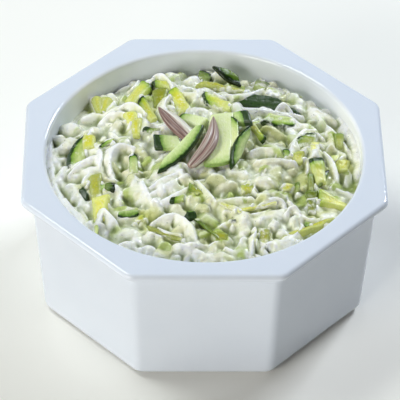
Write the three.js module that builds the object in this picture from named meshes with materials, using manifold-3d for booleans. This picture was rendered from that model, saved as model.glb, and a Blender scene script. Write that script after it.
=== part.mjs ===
// Tzatziki in an octagonal porcelain dish, with cut cucumber and red onion on top.
// Millimetres, +Z up. The origin is under the middle of the dish, and one flat
// side of the octagon, the front, faces -Y.
import * as THREE from 'three';
import { mergeVertices } from 'three/addons/utils/BufferGeometryUtils.js';
import Module from 'manifold-3d';

const wasm = await Module();
wasm.setup();

// ---------------------------------------------------------------- dimensions
const DISH_HEIGHT = 78;
const RIM_FLATS = 180; // across the flats of the rim
const RIM_EDGE_RADIUS = 2.1; // the rim's edge is a half round of this radius
const RIM_CORNER = 7.5; // rounding of the octagon's corners, seen from above
const COVE_RADIUS = 3.3; // hollow moulding under the rim
const BODY_TOP_FLATS = 168.4;
const BODY_BASE_FLATS = 160.8;
const COLLAR_STEP = 0.4; // the collar under the rim stands this proud
const BASE_ROUND = 5.4; // rounding between the sides and the underside
const FOOT_OUTER = 70; // half width of the foot's flat ring
const FOOT_INNER = 60;
const FOOT_RECESS = 1.4;

const MOUTH_RADIUS = 81; // edge of the round opening in the rim's top
const LIP_RADIUS = 2; // rounding from the rim's top into the opening
const WALL_FOOT_RADIUS = 75.5; // the hollow narrows to this above its rounding
const HOLLOW_ROUND = 13;
const FLOOR_LEVEL = 6.5;

const GAP = 0.4; // clearance between pieces that touch
const CORNER_STEPS = 3; // steps of arc round each corner of the octagon
const HOLLOW_STEPS = 56; // sides of the round opening

const HEAP_RADIUS = 78.4; // the dip's edge against the wall
const HEAP_CROWN = DISH_HEIGHT - 1.5; // level of the heap's middle
const HEAP_EDGE = DISH_HEIGHT - 11.5; // mean level of its edge
const HEAP_EDGE_TILT = 2; // the edge stands this much higher in front
const HEAP_POWER = 2.6; // how flat the crown is before it falls away
const HEAP_RINGS = 12;

const BATON_COUNT = 96; // coated cucumber batons fused to the heap by rule
const BATON_LENGTH = [9, 17];
const BATON_WIDTH = [3.6, 5.4];
const BATON_THICK = [3, 4.2];
const BATON_LIFT = [-0.6, 1]; // centre line above the heap's surface
const GOLDEN_ANGLE = Math.PI * (3 - Math.sqrt(5));

// --------------------------------------------------------- solids and meshes

// A closed three.js geometry as a solid, with its shared corners merged.
function solidOf(geometry) {
  const bare = geometry.clone();
  bare.deleteAttribute('normal');
  bare.deleteAttribute('uv');
  const merged = mergeVertices(bare, 1e-4);
  return new wasm.Manifold(new wasm.Mesh({
    numProp: 3,
    vertProperties: new Float32Array(merged.attributes.position.array),
    triVerts: new Uint32Array(merged.index.array),
  }));
}

// A solid as a flat-shaded geometry.
function geometryOf(solid) {
  const mesh = solid.getMesh();
  const geometry = new THREE.BufferGeometry();
  geometry.setAttribute('position', new THREE.BufferAttribute(mesh.vertProperties, 3));
  geometry.setIndex(new THREE.BufferAttribute(mesh.triVerts, 1));
  geometry.computeVertexNormals();
  return geometry;
}

// The largest connected body of a solid; loose scraps of a cut are dropped.
function largestBody(solid) {
  const bodies = solid.decompose();
  return bodies.reduce((best, body) => (body.volume() > best.volume() ? body : best));
}

// Revolves a profile of [radius, height] points about the Z axis.
function revolve(profile, steps) {
  const points = profile.map(([radius, height]) => new THREE.Vector2(radius, height));
  return new THREE.LatheGeometry(points, steps).rotateX(Math.PI / 2);
}

// Points of a circular arc from angle `from` to angle `to`, in degrees.
function arc(centreX, centreY, radius, from, to, steps) {
  const points = [];
  for (let k = 0; k <= steps; k += 1) {
    const angle = THREE.MathUtils.degToRad(from + ((to - from) * k) / steps);
    points.push([centreX + radius * Math.cos(angle), centreY + radius * Math.sin(angle)]);
  }
  return points;
}

// ---------------------------------------------------------------------- dish

// Point k of an octagon's outline with rounded corners: flat sides at
// `halfFlats` from the axis, joined by arcs centred on the corner lines.
function octagonPoint(k, halfFlats) {
  const perCorner = CORNER_STEPS + 1;
  const corner = Math.floor(k / perCorner) % 8;
  const step = k % perCorner;
  const cornerAngle = Math.PI / 8 + (corner * Math.PI) / 4;
  const round = Math.min(RIM_CORNER, halfFlats / 4);
  const reach = (halfFlats - round) / Math.cos(Math.PI / 8);
  const turn = cornerAngle + (step / CORNER_STEPS - 0.5) * (Math.PI / 4);
  return [
    reach * Math.cos(cornerAngle) + round * Math.cos(turn),
    reach * Math.sin(cornerAngle) + round * Math.sin(turn),
  ];
}

// Carries a profile of [half width, height] points round the octagon.
function octagonal(profile) {
  const steps = 8 * (CORNER_STEPS + 1);
  const geometry = revolve(profile, steps);
  const position = geometry.attributes.position;
  for (let i = 0; i < position.count; i += 1) {
    const ring = Math.floor(i / profile.length) % steps;
    const halfFlats = profile[i % profile.length][0];
    const [x, y] = halfFlats > 0 ? octagonPoint(ring, halfFlats) : [0, 0];
    position.setXY(i, x, y);
  }
  return geometry;
}

function dishOutside() {
  const rim = RIM_FLATS / 2;
  const edge = RIM_EDGE_RADIUS;
  const collar = BODY_TOP_FLATS / 2 + COLLAR_STEP;
  const coveTop = DISH_HEIGHT - 2 * edge;
  const coveFoot = coveTop - COVE_RADIUS;
  const base = BODY_BASE_FLATS / 2;
  return octagonal([
    [0, FOOT_RECESS],
    [FOOT_INNER - FOOT_RECESS, FOOT_RECESS],
    [FOOT_INNER, 0],
    [FOOT_OUTER, 0],
    ...arc(base - BASE_ROUND, BASE_ROUND, BASE_ROUND, -90, 0, 3),
    [BODY_TOP_FLATS / 2, coveFoot - 2],
    [collar, coveFoot - 1.6],
    ...arc(collar + COVE_RADIUS, coveFoot, COVE_RADIUS, 180, 90, 2),
    ...arc(rim - edge, DISH_HEIGHT - edge, edge, -90, 90, 4),
    [0, DISH_HEIGHT],
  ]);
}

// Profile of the round hollow, drawn inwards by `inset` on every side.
function hollowProfile(inset) {
  const floor = FLOOR_LEVEL + inset;
  const foot = WALL_FOOT_RADIUS - inset;
  const wallTop = MOUTH_RADIUS - LIP_RADIUS - inset;
  return [
    [0, floor],
    ...arc(foot - HOLLOW_ROUND, floor + HOLLOW_ROUND, HOLLOW_ROUND, -90, 0, 3),
    [wallTop, DISH_HEIGHT - LIP_RADIUS],
  ];
}

function dish() {
  const lip = arc(MOUTH_RADIUS, DISH_HEIGHT - LIP_RADIUS, LIP_RADIUS, 180, 90, 3).slice(1);
  const above = DISH_HEIGHT + 2;
  const hollow = revolve([...hollowProfile(0), ...lip, [MOUTH_RADIUS, above], [0, above]], HOLLOW_STEPS);
  return solidOf(dishOutside()).subtract(solidOf(hollow));
}

// ----------------------------------------------------------------------- dip

// Fractional part: the source of the even spread of sizes and turns.
function fraction(value) {
  return value - Math.floor(value);
}

function within([low, high], share) {
  return low + (high - low) * share;
}

// Level of the heap's surface: a flat-crowned mound whose edge meets the wall
// lower at the back than in front, with broad swells left by the spoon.
function heapLevel(x, y) {
  const share = Math.min(Math.hypot(x, y) / HEAP_RADIUS, 1);
  const edge = HEAP_EDGE - (HEAP_EDGE_TILT * y) / HEAP_RADIUS;
  const mound = edge + (HEAP_CROWN - edge) * (1 - share ** HEAP_POWER);
  const swell = 0.9 * Math.sin(x / 7.3 + 1.1) * Math.sin(y / 6.1 + 0.6)
    + 0.8 * Math.sin((x - 0.8 * y) / 8.7 + 2.3);
  return mound + swell * (1 - share ** 4);
}

// Upward normal of the heap's surface, by differences over 3 mm.
function heapNormal(x, y) {
  const reach = 1.5;
  const slopeX = (heapLevel(x + reach, y) - heapLevel(x - reach, y)) / (2 * reach);
  const slopeY = (heapLevel(x, y + reach) - heapLevel(x, y - reach)) / (2 * reach);
  return new THREE.Vector3(-slopeX, -slopeY, 1).normalize();
}

// The dip itself: fills the hollow from its floor up to the heap's surface.
function heapCore() {
  const below = hollowProfile(GAP).slice(0, -1);
  const profile = [...below, [HEAP_RADIUS - 0.8, HEAP_EDGE - 12]];
  for (let ring = 0; ring <= HEAP_RINGS; ring += 1) {
    profile.push([HEAP_RADIUS * (1 - ring / HEAP_RINGS), HEAP_EDGE]);
  }
  const geometry = revolve(profile, HOLLOW_STEPS);
  const position = geometry.attributes.position;
  const firstRing = profile.length - HEAP_RINGS - 1;
  for (let i = 0; i < position.count; i += 1) {
    if (i % profile.length >= firstRing) {
      position.setZ(i, heapLevel(position.getX(i), position.getY(i)));
    }
  }
  return solidOf(geometry);
}

// A baton of cucumber: a bar along X, bowed sideways by `bow` at its ends.
function batonGeometry(length, width, thick, bow) {
  const geometry = new THREE.BoxGeometry(length, width, thick, 3, 1, 1);
  const position = geometry.attributes.position;
  for (let i = 0; i < position.count; i += 1) {
    const along = (2 * position.getX(i)) / length;
    position.setY(i, position.getY(i) * (1 - 0.25 * along ** 2) + bow * along ** 2);
  }
  return geometry;
}

// Batons spread evenly over the heap by the golden angle, most of them lying
// along the spoon's round stroke. Those under the garnish are skipped.
function batons() {
  const bars = [];
  for (let i = 0; i < BATON_COUNT; i += 1) {
    const radius = (HEAP_RADIUS - 5) * Math.sqrt((i + 0.5) / BATON_COUNT);
    const angle = i * GOLDEN_ANGLE;
    const x = radius * Math.cos(angle);
    const y = radius * Math.sin(angle);
    const underGarnish = Math.abs(x) < GARNISH_REACH[0] && Math.abs(y - GARNISH_MIDDLE) < GARNISH_REACH[1];
    if (underGarnish) {
      continue;
    }
    const turn = angle + Math.PI / 2 + 1.9 * (fraction(i * 0.754877) - 0.5);
    const geometry = batonGeometry(
      within(BATON_LENGTH, fraction(i * 0.569840)),
      within(BATON_WIDTH, fraction(i * 0.381966)),
      within(BATON_THICK, fraction(i * 0.236068)),
      1.6 * (fraction(i * 0.472136) - 0.3),
    );
    const normal = heapNormal(x, y);
    const heading = new THREE.Vector3(Math.cos(turn), Math.sin(turn), 0);
    const side = new THREE.Vector3().crossVectors(normal, heading).normalize();
    const along = new THREE.Vector3().crossVectors(side, normal);
    const lift = within(BATON_LIFT, fraction(i * 0.618034));
    const place = new THREE.Matrix4().makeBasis(along, side, normal);
    place.setPosition(x, y, heapLevel(x, y) + lift);
    bars.push(solidOf(geometry.applyMatrix4(place)));
  }
  return bars;
}

// -------------------------------------------------------------- cucumber cuts

// A point of a piece on the heap, whose height is given from the rim's top.
function overRim([x, y, height]) {
  return new THREE.Vector3(x, y, DISH_HEIGHT + height);
}

// A piece cut from a cucumber: a flat slab whose outline has the bowed skin on
// one side. Its upper face passes through three points: `a` and `b`, the ends
// of the skin, and `c`, the middle of the far edge. `bulge` is how far the skin
// bows out, `far` the far edge's share of the skin's width.
function cutGeometry({ a, b, c, bulge, far, thick }, grow = 0) {
  const skinStart = overRim(a);
  const skin = overRim(b).sub(skinStart);
  const width = skin.length();
  const along = skin.clone().normalize();
  const toFar = overRim(c).sub(skinStart);
  const farMiddle = toFar.dot(along);
  const across = toFar.clone().addScaledVector(along, -farMiddle);
  const depth = across.length();
  const inward = across.clone().normalize();
  const normal = new THREE.Vector3().crossVectors(along, inward);

  const shape = new THREE.Shape();
  shape.moveTo(0, 0);
  shape.quadraticCurveTo(width / 2, -2 * bulge, width, 0);
  shape.lineTo(farMiddle + (far * width) / 2, depth);
  shape.lineTo(farMiddle - (far * width) / 2, depth);
  shape.closePath();
  const geometry = new THREE.ExtrudeGeometry(shape, {
    depth: thick,
    bevelEnabled: false,
    curveSegments: 6,
  });
  const sink = normal.z > 0 ? -thick : 0;
  geometry.translate(-width / 2, -(depth - bulge) / 2, sink);
  geometry.scale((width + 2 * grow) / width, (depth + bulge + 2 * grow) / (depth + bulge), 1);
  geometry.translate(width / 2, (depth - bulge) / 2, 0);
  geometry.translate(0, 0, -sink - thick / 2);
  geometry.scale(1, 1, (thick + 2 * grow) / thick);
  geometry.translate(0, 0, sink + thick / 2);
  const place = new THREE.Matrix4().makeBasis(along, inward, normal).setPosition(skinStart);
  return geometry.applyMatrix4(place);
}

// Cucumber pieces that lie in the heap, half sunk in the dip.
const HEAP_CUTS = [
  { a: [16.5, 43.5, -4], b: [52, 41, -9.5], c: [30, 40.5, -5], bulge: 3, far: 0.7, thick: 3 },
  { a: [6.5, 72, -6.5], b: [19, 68, -13], c: [11, 69, -13.5], bulge: 1.5, far: 0.6, thick: 2.6 },
  { a: [-4.5, 62, -7.5], b: [22.5, 57, -8.5], c: [8, 56, -7.5], bulge: 1.5, far: 0.7, thick: 3.5 },
  { a: [34, -58, -5.5], b: [64, -39, -7.5], c: [47, -43.5, -5.5], bulge: 2, far: 0.8, thick: 4 },
  { a: [56, -24, -5], b: [70, -27, -8.5], c: [59, -34, -8], bulge: 1, far: 0.5, thick: 4 },
  { a: [-60.5, 24, -7], b: [-67.5, -3, -8], c: [-57, 8, -5.5], bulge: 4, far: 0.6, thick: 4 },
  { a: [-26, 70, -11.5], b: [-18, 61, -7.5], c: [-20, 40, -3], bulge: 1, far: 0.8, thick: 4 },
  { a: [-18, 56, -5], b: [-12.5, 60, -6], c: [-10, 32, -1.5], bulge: 1, far: 0.9, thick: 4 },
  { a: [-32.5, 47.5, -4.5], b: [-30.5, 38.5, -2.5], c: [-23.5, 28, -1.5], bulge: 1, far: 0.7, thick: 4 },
  { a: [-28, 67, -10.5], b: [-39.5, 47, -7], c: [-32, 54, -7.5], bulge: 1, far: 0.8, thick: 4 },
  { a: [-57, 50, -9.5], b: [-47.5, 51, -8.5], c: [-52, 39.5, -7.5], bulge: 2, far: 0.5, thick: 5 },
  { a: [25, 26, -0.5], b: [48.5, 28, -4], c: [38, 21.5, -2.5], bulge: 2, far: 0.8, thick: 4 },
  { a: [57, 1.5, -2.5], b: [58.5, -17.5, -5.5], c: [61.5, -7, -5], bulge: 1, far: 0.8, thick: 4 },
  { a: [-7, -22, 1], b: [-6, -29.5, -0.5], c: [-1, -27.5, -0.5], bulge: 1, far: 0.8, thick: 3.5 },
  { a: [-44, -39.5, -4], b: [-32.5, -40.5, -3], c: [-38, -36.5, -2.5], bulge: 1.5, far: 0.7, thick: 3 },
  { a: [-17, -35, 0], b: [-17, -31.5, 0.5], c: [-11, -32.5, 0], bulge: 0.5, far: 1, thick: 3 },
  { a: [-53, -10.5, -3.5], b: [-54.5, -49, -7.5], c: [-50.5, -30, -4], bulge: 2, far: 0.8, thick: 3.5 },
  { a: [-63, -19, -6.5], b: [-58.5, -27, -7], c: [-58, -21, -5.5], bulge: 1.5, far: 0.8, thick: 3.5 },
  { a: [-51.5, -20, -3], b: [-44.5, -22, -2.5], c: [-48.5, -26, -3.5], bulge: 1.5, far: 0.8, thick: 3.5 },
  { a: [0, 50, -2.5], b: [1.5, 40, -1.5], c: [8, 44, -2.5], bulge: 1, far: 0.8, thick: 4 },
];

// Cucumber pieces of the garnish, the uppermost first. Each later piece is cut
// round the ones above it.
const GARNISH_CUTS = [
  { name: 'cucumber_front', a: [-22.9, -15.5, 1.5], b: [0.6, 13.4, 7], c: [-12.6, 0.6, 5.4],
    bulge: 3.4, far: 0.86, thick: 4.2 },
  { name: 'cucumber_right', a: [13.2, -10.6, 1.6], b: [24.4, 13.5, 7], c: [21.6, 0.4, 3.2],
    bulge: 1.2, far: 0.7, thick: 5 },
  { name: 'cucumber_top', a: [21.9, 25.1, 7], b: [24, 16.6, 6], c: [14.5, 20.4, 5.8],
    bulge: 1.4, far: 0.9, thick: 4.5 },
  { name: 'cucumber_middle', a: [-0.1, -9.3, 1], b: [11.8, -8.5, 2], c: [7.8, 22.7, 6],
    bulge: 1.6, far: 0.9, thick: 3.6 },
  { name: 'cucumber_behind', a: [13.3, 22, 4.8], b: [18.7, 17.7, 4.8], c: [10.8, -3.3, 4],
    bulge: 0.8, far: 1, thick: 3.6 },
  { name: 'cucumber_left', a: [-24.2, 11.4, 3], b: [-23.5, 1.2, 1], c: [-8, 4.4, 3],
    bulge: 1.6, far: 0.9, thick: 3.8 },
  { name: 'cucumber_back', a: [-13.4, 24.4, 1.5], b: [-9.8, 28.9, 2], c: [-0.4, 13.8, 4.5],
    bulge: 0.9, far: 1.6, thick: 3.8 },
];
const GARNISH_MIDDLE = 7; // of the garnish, along Y
const GARNISH_REACH = [24, 20]; // half its spread along X and along Y

// -------------------------------------------------------------- onion slivers

// Slivers of red onion: two leaves lying together, pointed at the tip, widest
// towards the end, with a groove between them. `bow` is how far the middle
// swings out to the right of the line from tip to end.
const ONION_SLIVERS = [
  { name: 'onion_right', tip: [4.6, 15.7, 10.4], end: [-7.9, -14.6, 3.6], bow: 6, width: 6.4, thick: 3.8,
    lift: 2.6, shares: [0.12, 0.78, 0.42] },
  { name: 'onion_left', tip: [-22.9, 27.2, 5.5], end: [-10.4, 5.8, 6], bow: 0.4, width: 7.6, thick: 3.8,
    lift: 0.8, shares: [0.1, 0.92, 0.85] },
];
const SLIVER_SIDES = 10;
const SLIVER_STEPS = 8;
const GROOVE_DEPTH = 0.42; // share of the sliver's thickness
const GROOVE_WIDTH = 0.35; // in radians round the section

// Width of a sliver at share t of its length, through its shares at the tip,
// the middle and the end.
function sliverShare(t, [tip, middle, end]) {
  const straight = tip + (end - tip) * t;
  return straight + (middle * 1.25 - (tip + end) / 2) * Math.sin(Math.PI * t) ** 0.8;
}

function sliverGeometry({ tip, end, bow, width, thick, lift, shares }, grow = 0) {
  const start = overRim(tip);
  const run = overRim(end).sub(start);
  const length = run.length();
  const along = run.clone().normalize();
  const side = new THREE.Vector3(0, 0, 1).cross(along).normalize();
  const up = new THREE.Vector3().crossVectors(along, side);

  const geometry = new THREE.CylinderGeometry(1, 1, 1, SLIVER_SIDES, SLIVER_STEPS);
  const position = geometry.attributes.position;
  for (let i = 0; i < position.count; i += 1) {
    const t = 0.5 - position.getY(i);
    const radius = Math.min(1, Math.hypot(position.getX(i), position.getZ(i)));
    const turn = Math.atan2(position.getZ(i), position.getX(i));
    const groove = 1 - GROOVE_DEPTH * Math.exp(-(((turn - Math.PI / 2) / GROOVE_WIDTH) ** 2));
    const share = Math.max(0.1, sliverShare(t, shares));
    const across = radius * Math.cos(turn) * ((width * share) / 2 + grow);
    const above = radius * groove * Math.sin(turn) * ((thick * share ** 0.5) / 2 + grow);
    const arch = Math.sin(Math.PI * t);
    position.setXYZ(i, across + bow * arch, t * (length + 2 * grow) - grow, above + lift * arch);
  }
  const place = new THREE.Matrix4().makeBasis(side, along, up).setPosition(start);
  geometry.applyMatrix4(place);
  return geometry;
}

// ------------------------------------------------------------------ assembly

// Lays the garnish from the top down. `bed` grows to the space that the pieces
// already laid take up, with their clearance.
function garnish() {
  const laid = [];
  let bed = null;
  const pieces = [
    ...ONION_SLIVERS.map((sliver) => ({ ...sliver, kind: 'onion', shape: sliverGeometry })),
    ...GARNISH_CUTS.map((cut) => ({ ...cut, kind: 'cucumber', shape: cutGeometry })),
  ];
  for (const piece of pieces) {
    const whole = solidOf(piece.shape(piece));
    const solid = bed ? largestBody(whole.subtract(bed)) : whole;
    laid.push({ name: piece.name, kind: piece.kind, solid });
    const space = solidOf(piece.shape(piece, GAP));
    bed = bed ? bed.add(space) : space;
  }
  return { laid, bed };
}

// The dip with its batons and cuts fused on, kept clear of the dish's wall and
// cut round the garnish.
function dip(bed) {
  let heap = heapCore();
  for (const bar of batons()) {
    heap = heap.add(bar);
  }
  for (const cut of HEAP_CUTS) {
    heap = heap.add(solidOf(cutGeometry(cut)));
  }
  const rise = DISH_HEIGHT + 20;
  const mouth = MOUTH_RADIUS - LIP_RADIUS - GAP;
  const room = solidOf(revolve([...hollowProfile(GAP), [mouth, rise], [0, rise]], HOLLOW_STEPS));
  return largestBody(heap.intersect(room).subtract(bed));
}

const FINISHES = {
  porcelain: { color: '#e8edf3', roughness: 0.12, metalness: 0 },
  dip: { color: '#eef0e0', roughness: 0.3, metalness: 0 },
  cucumber: { color: '#a9cf78', roughness: 0.3, metalness: 0 },
  onion: { color: '#8f7187', roughness: 0.35, metalness: 0 },
};

function meshOf(name, solid, finish) {
  const mesh = new THREE.Mesh(geometryOf(solid), new THREE.MeshStandardMaterial(FINISHES[finish]));
  mesh.name = name;
  return mesh;
}

const { laid, bed } = garnish();
const tzatziki = new THREE.Group();
tzatziki.add(meshOf('dish', dish(), 'porcelain'));
tzatziki.add(meshOf('dip', dip(bed), 'dip'));
for (const piece of laid) {
  tzatziki.add(meshOf(piece.name, piece.solid, piece.kind));
}

export default tzatziki;
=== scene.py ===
"""Tzatziki in an octagonal porcelain dish, with cut cucumber and red onion on top."""
import math

import bpy
import numpy as np
from mathutils import Matrix, Vector


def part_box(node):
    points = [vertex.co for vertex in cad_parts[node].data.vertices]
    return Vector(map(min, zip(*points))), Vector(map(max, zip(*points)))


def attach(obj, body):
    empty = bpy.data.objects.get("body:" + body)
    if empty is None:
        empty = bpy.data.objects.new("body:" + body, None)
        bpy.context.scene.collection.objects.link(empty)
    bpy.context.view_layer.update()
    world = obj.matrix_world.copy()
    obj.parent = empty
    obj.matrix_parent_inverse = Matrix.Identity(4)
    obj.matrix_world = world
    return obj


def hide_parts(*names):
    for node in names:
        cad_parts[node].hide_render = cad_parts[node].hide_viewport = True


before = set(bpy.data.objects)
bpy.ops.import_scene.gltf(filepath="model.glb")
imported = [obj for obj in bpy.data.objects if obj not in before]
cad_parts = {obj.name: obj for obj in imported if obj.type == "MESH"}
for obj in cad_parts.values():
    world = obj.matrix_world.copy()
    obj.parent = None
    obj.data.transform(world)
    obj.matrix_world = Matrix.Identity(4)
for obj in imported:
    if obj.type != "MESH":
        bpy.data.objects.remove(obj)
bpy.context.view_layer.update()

MM = 0.001
RIM_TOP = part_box("dish")[1].z / MM  # the pieces on the heap are placed from the rim's top

# ---------------------------------------------------------------------------- camera
# A long lens looks down into the dish from in front, a hair to its left and
# turned by one degree.
CAMERA_AT = (-0.02427, -0.97501, 0.93568)
CAMERA_AIM = (-0.00157, 0.0, 0.0450)
CAMERA_ROLL = math.radians(1.026)
FOCAL_LENGTH = 234.3
SENSOR_WIDTH = 36.0

scene = bpy.context.scene
scene.view_settings.view_transform = "Standard"
lens = bpy.data.cameras.new("camera")
lens.lens = FOCAL_LENGTH
lens.sensor_width = SENSOR_WIDTH
lens.clip_start = 0.05
camera = bpy.data.objects.new("camera", lens)
scene.collection.objects.link(camera)
level_facing = (Vector(CAMERA_AIM) - Vector(CAMERA_AT)).to_track_quat("-Z", "Y").to_matrix()
facing = level_facing @ Matrix.Rotation(CAMERA_ROLL, 3, "Z")
camera.matrix_world = Matrix.Translation(CAMERA_AT) @ facing.to_4x4()
scene.camera = camera

# ---------------------------------------------------------------------------- dish
# A porcelain serving dish, slip cast in one piece: octagonal outside with a flat
# rim, round inside, on a low foot ring. It is glazed white and fired, so every
# edge is soft and the glaze pulls thin over the sharpest ones. The wall inside is
# painted whiter than the glaze outside: partly a film of yoghurt left by spooning,
# thickest in three smears, and partly painted light that brightens the whole hollow.
RIM_FLATS = 180.0
RIM_EDGE_RADIUS = 2.1
RIM_CORNER = 7.5
COVE_RADIUS = 3.3
BODY_TOP_FLATS = 168.4
BODY_BASE_FLATS = 160.8
COLLAR_STEP = 0.4
BASE_ROUND = 5.4
FOOT_OUTER = 70.0
FOOT_INNER = 60.0
FOOT_RECESS = 1.4
MOUTH_RADIUS = 81.0
LIP_RADIUS = 2.0
WALL_FOOT_RADIUS = 75.5
HOLLOW_ROUND = 13.0
FLOOR_LEVEL = 6.5
CORNER_STEPS = 8
FLAT_SHARES = np.array([0.03, 0.1, 0.22, 0.36, 0.5, 0.64, 0.78, 0.9, 0.97])
PORCELAIN = "#dfe5ef"
PORCELAIN_SHADE = "#dae1ec"
GLAZE_RIPPLE = 22.0  # mm between the swells that a dipped glaze sets with
# painted light: the wall inside is mixed towards this white, partly as a film of yoghurt and partly as
# painted light in the hollow, most in three spots
FILM_AND_LIGHT_WHITE = "#fdfeff"
FILM_AND_LIGHT_SPOTS = [(79, 22, 28), (-76, -22, 24), (-62, 50, 20)]  # x, y and radius
HOLLOW_FILM_AND_LIGHT = 0.35  # share of the film between the smears


def paint(colour):
    """Linear colour of an sRGB hex value: a channel up to 0.04045 is divided by 12.92, and a
    higher one has 0.055 added, is divided by 1.055 and raised to 2.4."""
    channels = np.array([int(colour[k:k + 2], 16) / 255 for k in (1, 3, 5)])
    linear = np.where(channels <= 0.04045, channels / 12.92, ((channels + 0.055) / 1.055) ** 2.4)
    return (*linear.tolist(), 1.0)


def add(material, kind, settings=None, inputs=None):
    """Adds one node. `settings` are its properties. `inputs` are its sockets, by name or
    number, each with a value or with the output of another node to link from."""
    node = material.node_tree.nodes.new(kind)
    for name, value in (settings or {}).items():
        setattr(node, name, value)
    for key, value in (inputs or {}).items():
        if isinstance(value, bpy.types.NodeSocket):
            material.node_tree.links.new(value, node.inputs[key])
        else:
            node.inputs[key].default_value = value
    return node


def blank_material(name):
    """A material with an empty node tree."""
    material = bpy.data.materials.new(name)
    material.use_nodes = True
    material.node_tree.nodes.clear()
    return material


def mesh_piece(name, points, faces, material, shares=None, colours=None, flat_uv=None):
    """An object at the origin from points in mm and lists of faces, shaded smooth. `shares`
    are numbers and `colours` linear colours kept on its points by name; `flat_uv` gives
    each point's place on a flat map, in mm."""
    mesh = bpy.data.meshes.new(name)
    mesh.from_pydata(points * MM, [], faces)
    mesh.polygons.foreach_set("use_smooth", np.ones(len(mesh.polygons), bool))
    for key, values in (shares or {}).items():
        layer = mesh.attributes.new(key, "FLOAT", "POINT")
        layer.data.foreach_set("value", np.ascontiguousarray(values, np.float32))
    for key, values in (colours or {}).items():
        layer = mesh.attributes.new(key, "FLOAT_COLOR", "POINT")
        opaque = np.concatenate([values, np.ones((len(values), 1))], axis=1)
        layer.data.foreach_set("color", opaque.astype(np.float32).ravel())
    if flat_uv is not None:
        corner = np.empty(len(mesh.loops), np.int32)
        mesh.loops.foreach_get("vertex_index", corner)
        layer = mesh.uv_layers.new(name="flat")
        layer.data.foreach_set("uv", flat_uv[corner].astype(np.float32).ravel())
    mesh.materials.append(material)
    piece = bpy.data.objects.new(name, mesh)
    scene.collection.objects.link(piece)
    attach(piece, "root")
    return piece


def shell_faces(shells, rows, sides):
    """Faces of closed shells whose points are `rows` rings of `sides` points each, then one
    point that closes the first ring and one that closes the last. Rings run anticlockwise
    seen from where the last one lies."""
    ring = np.arange(rows * sides).reshape(rows, sides)
    after = np.roll(ring, -1, axis=1)
    quads = np.stack([ring[:-1], after[:-1], after[1:], ring[1:]], axis=-1).reshape(-1, 4)
    start = np.full(sides, rows * sides)
    caps = np.concatenate([
        np.stack([start, after[0], ring[0]], axis=-1),
        np.stack([start + 1, ring[-1], after[-1]], axis=-1),
    ])
    shift = np.arange(shells)[:, None, None] * (rows * sides + 2)
    return (quads + shift).reshape(-1, 4).tolist() + (caps + shift).reshape(-1, 3).tolist()


def close_rings(values):
    """Values on rings, shaped (shells, rows, sides, n), as one list of points, with the mean
    of each shell's first and last ring added for the points that close it."""
    ends = values[:, [0, -1]].mean(axis=2)
    return np.concatenate([values.reshape(len(values), -1, values.shape[-1]), ends], axis=1) \
        .reshape(-1, values.shape[-1])


def arc(centre_x, centre_z, radius, start, end, steps):
    """Points on a circle about a centre, at even angles from `start` to `end` in degrees."""
    angle = np.radians(np.linspace(start, end, steps + 1))
    return np.stack([centre_x + radius * np.cos(angle), centre_z + radius * np.sin(angle)], axis=-1)


def octagon_outline(half_flats):
    """Points round an octagon with rounded corners. A corner is an arc centred on its corner
    line, and a straight side runs from the end of one arc to the start of the next."""
    round_radius = min(RIM_CORNER, half_flats / 4)
    reach = (half_flats - round_radius) / math.cos(math.pi / 8)
    corner = math.pi / 8 + np.arange(8)[:, None] * math.pi / 4
    turn = corner + (np.linspace(0, 1, CORNER_STEPS + 1) - 0.5) * math.pi / 4
    bend = np.stack([reach * np.cos(corner) + round_radius * np.cos(turn),
                     reach * np.sin(corner) + round_radius * np.sin(turn)], axis=-1)
    start = bend[:, -1:]
    run = np.roll(bend[:, :1], -1, axis=0) - start
    side = start + run * FLAT_SHARES[:, None]
    return np.concatenate([bend, side], axis=1).reshape(-1, 2)


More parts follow.
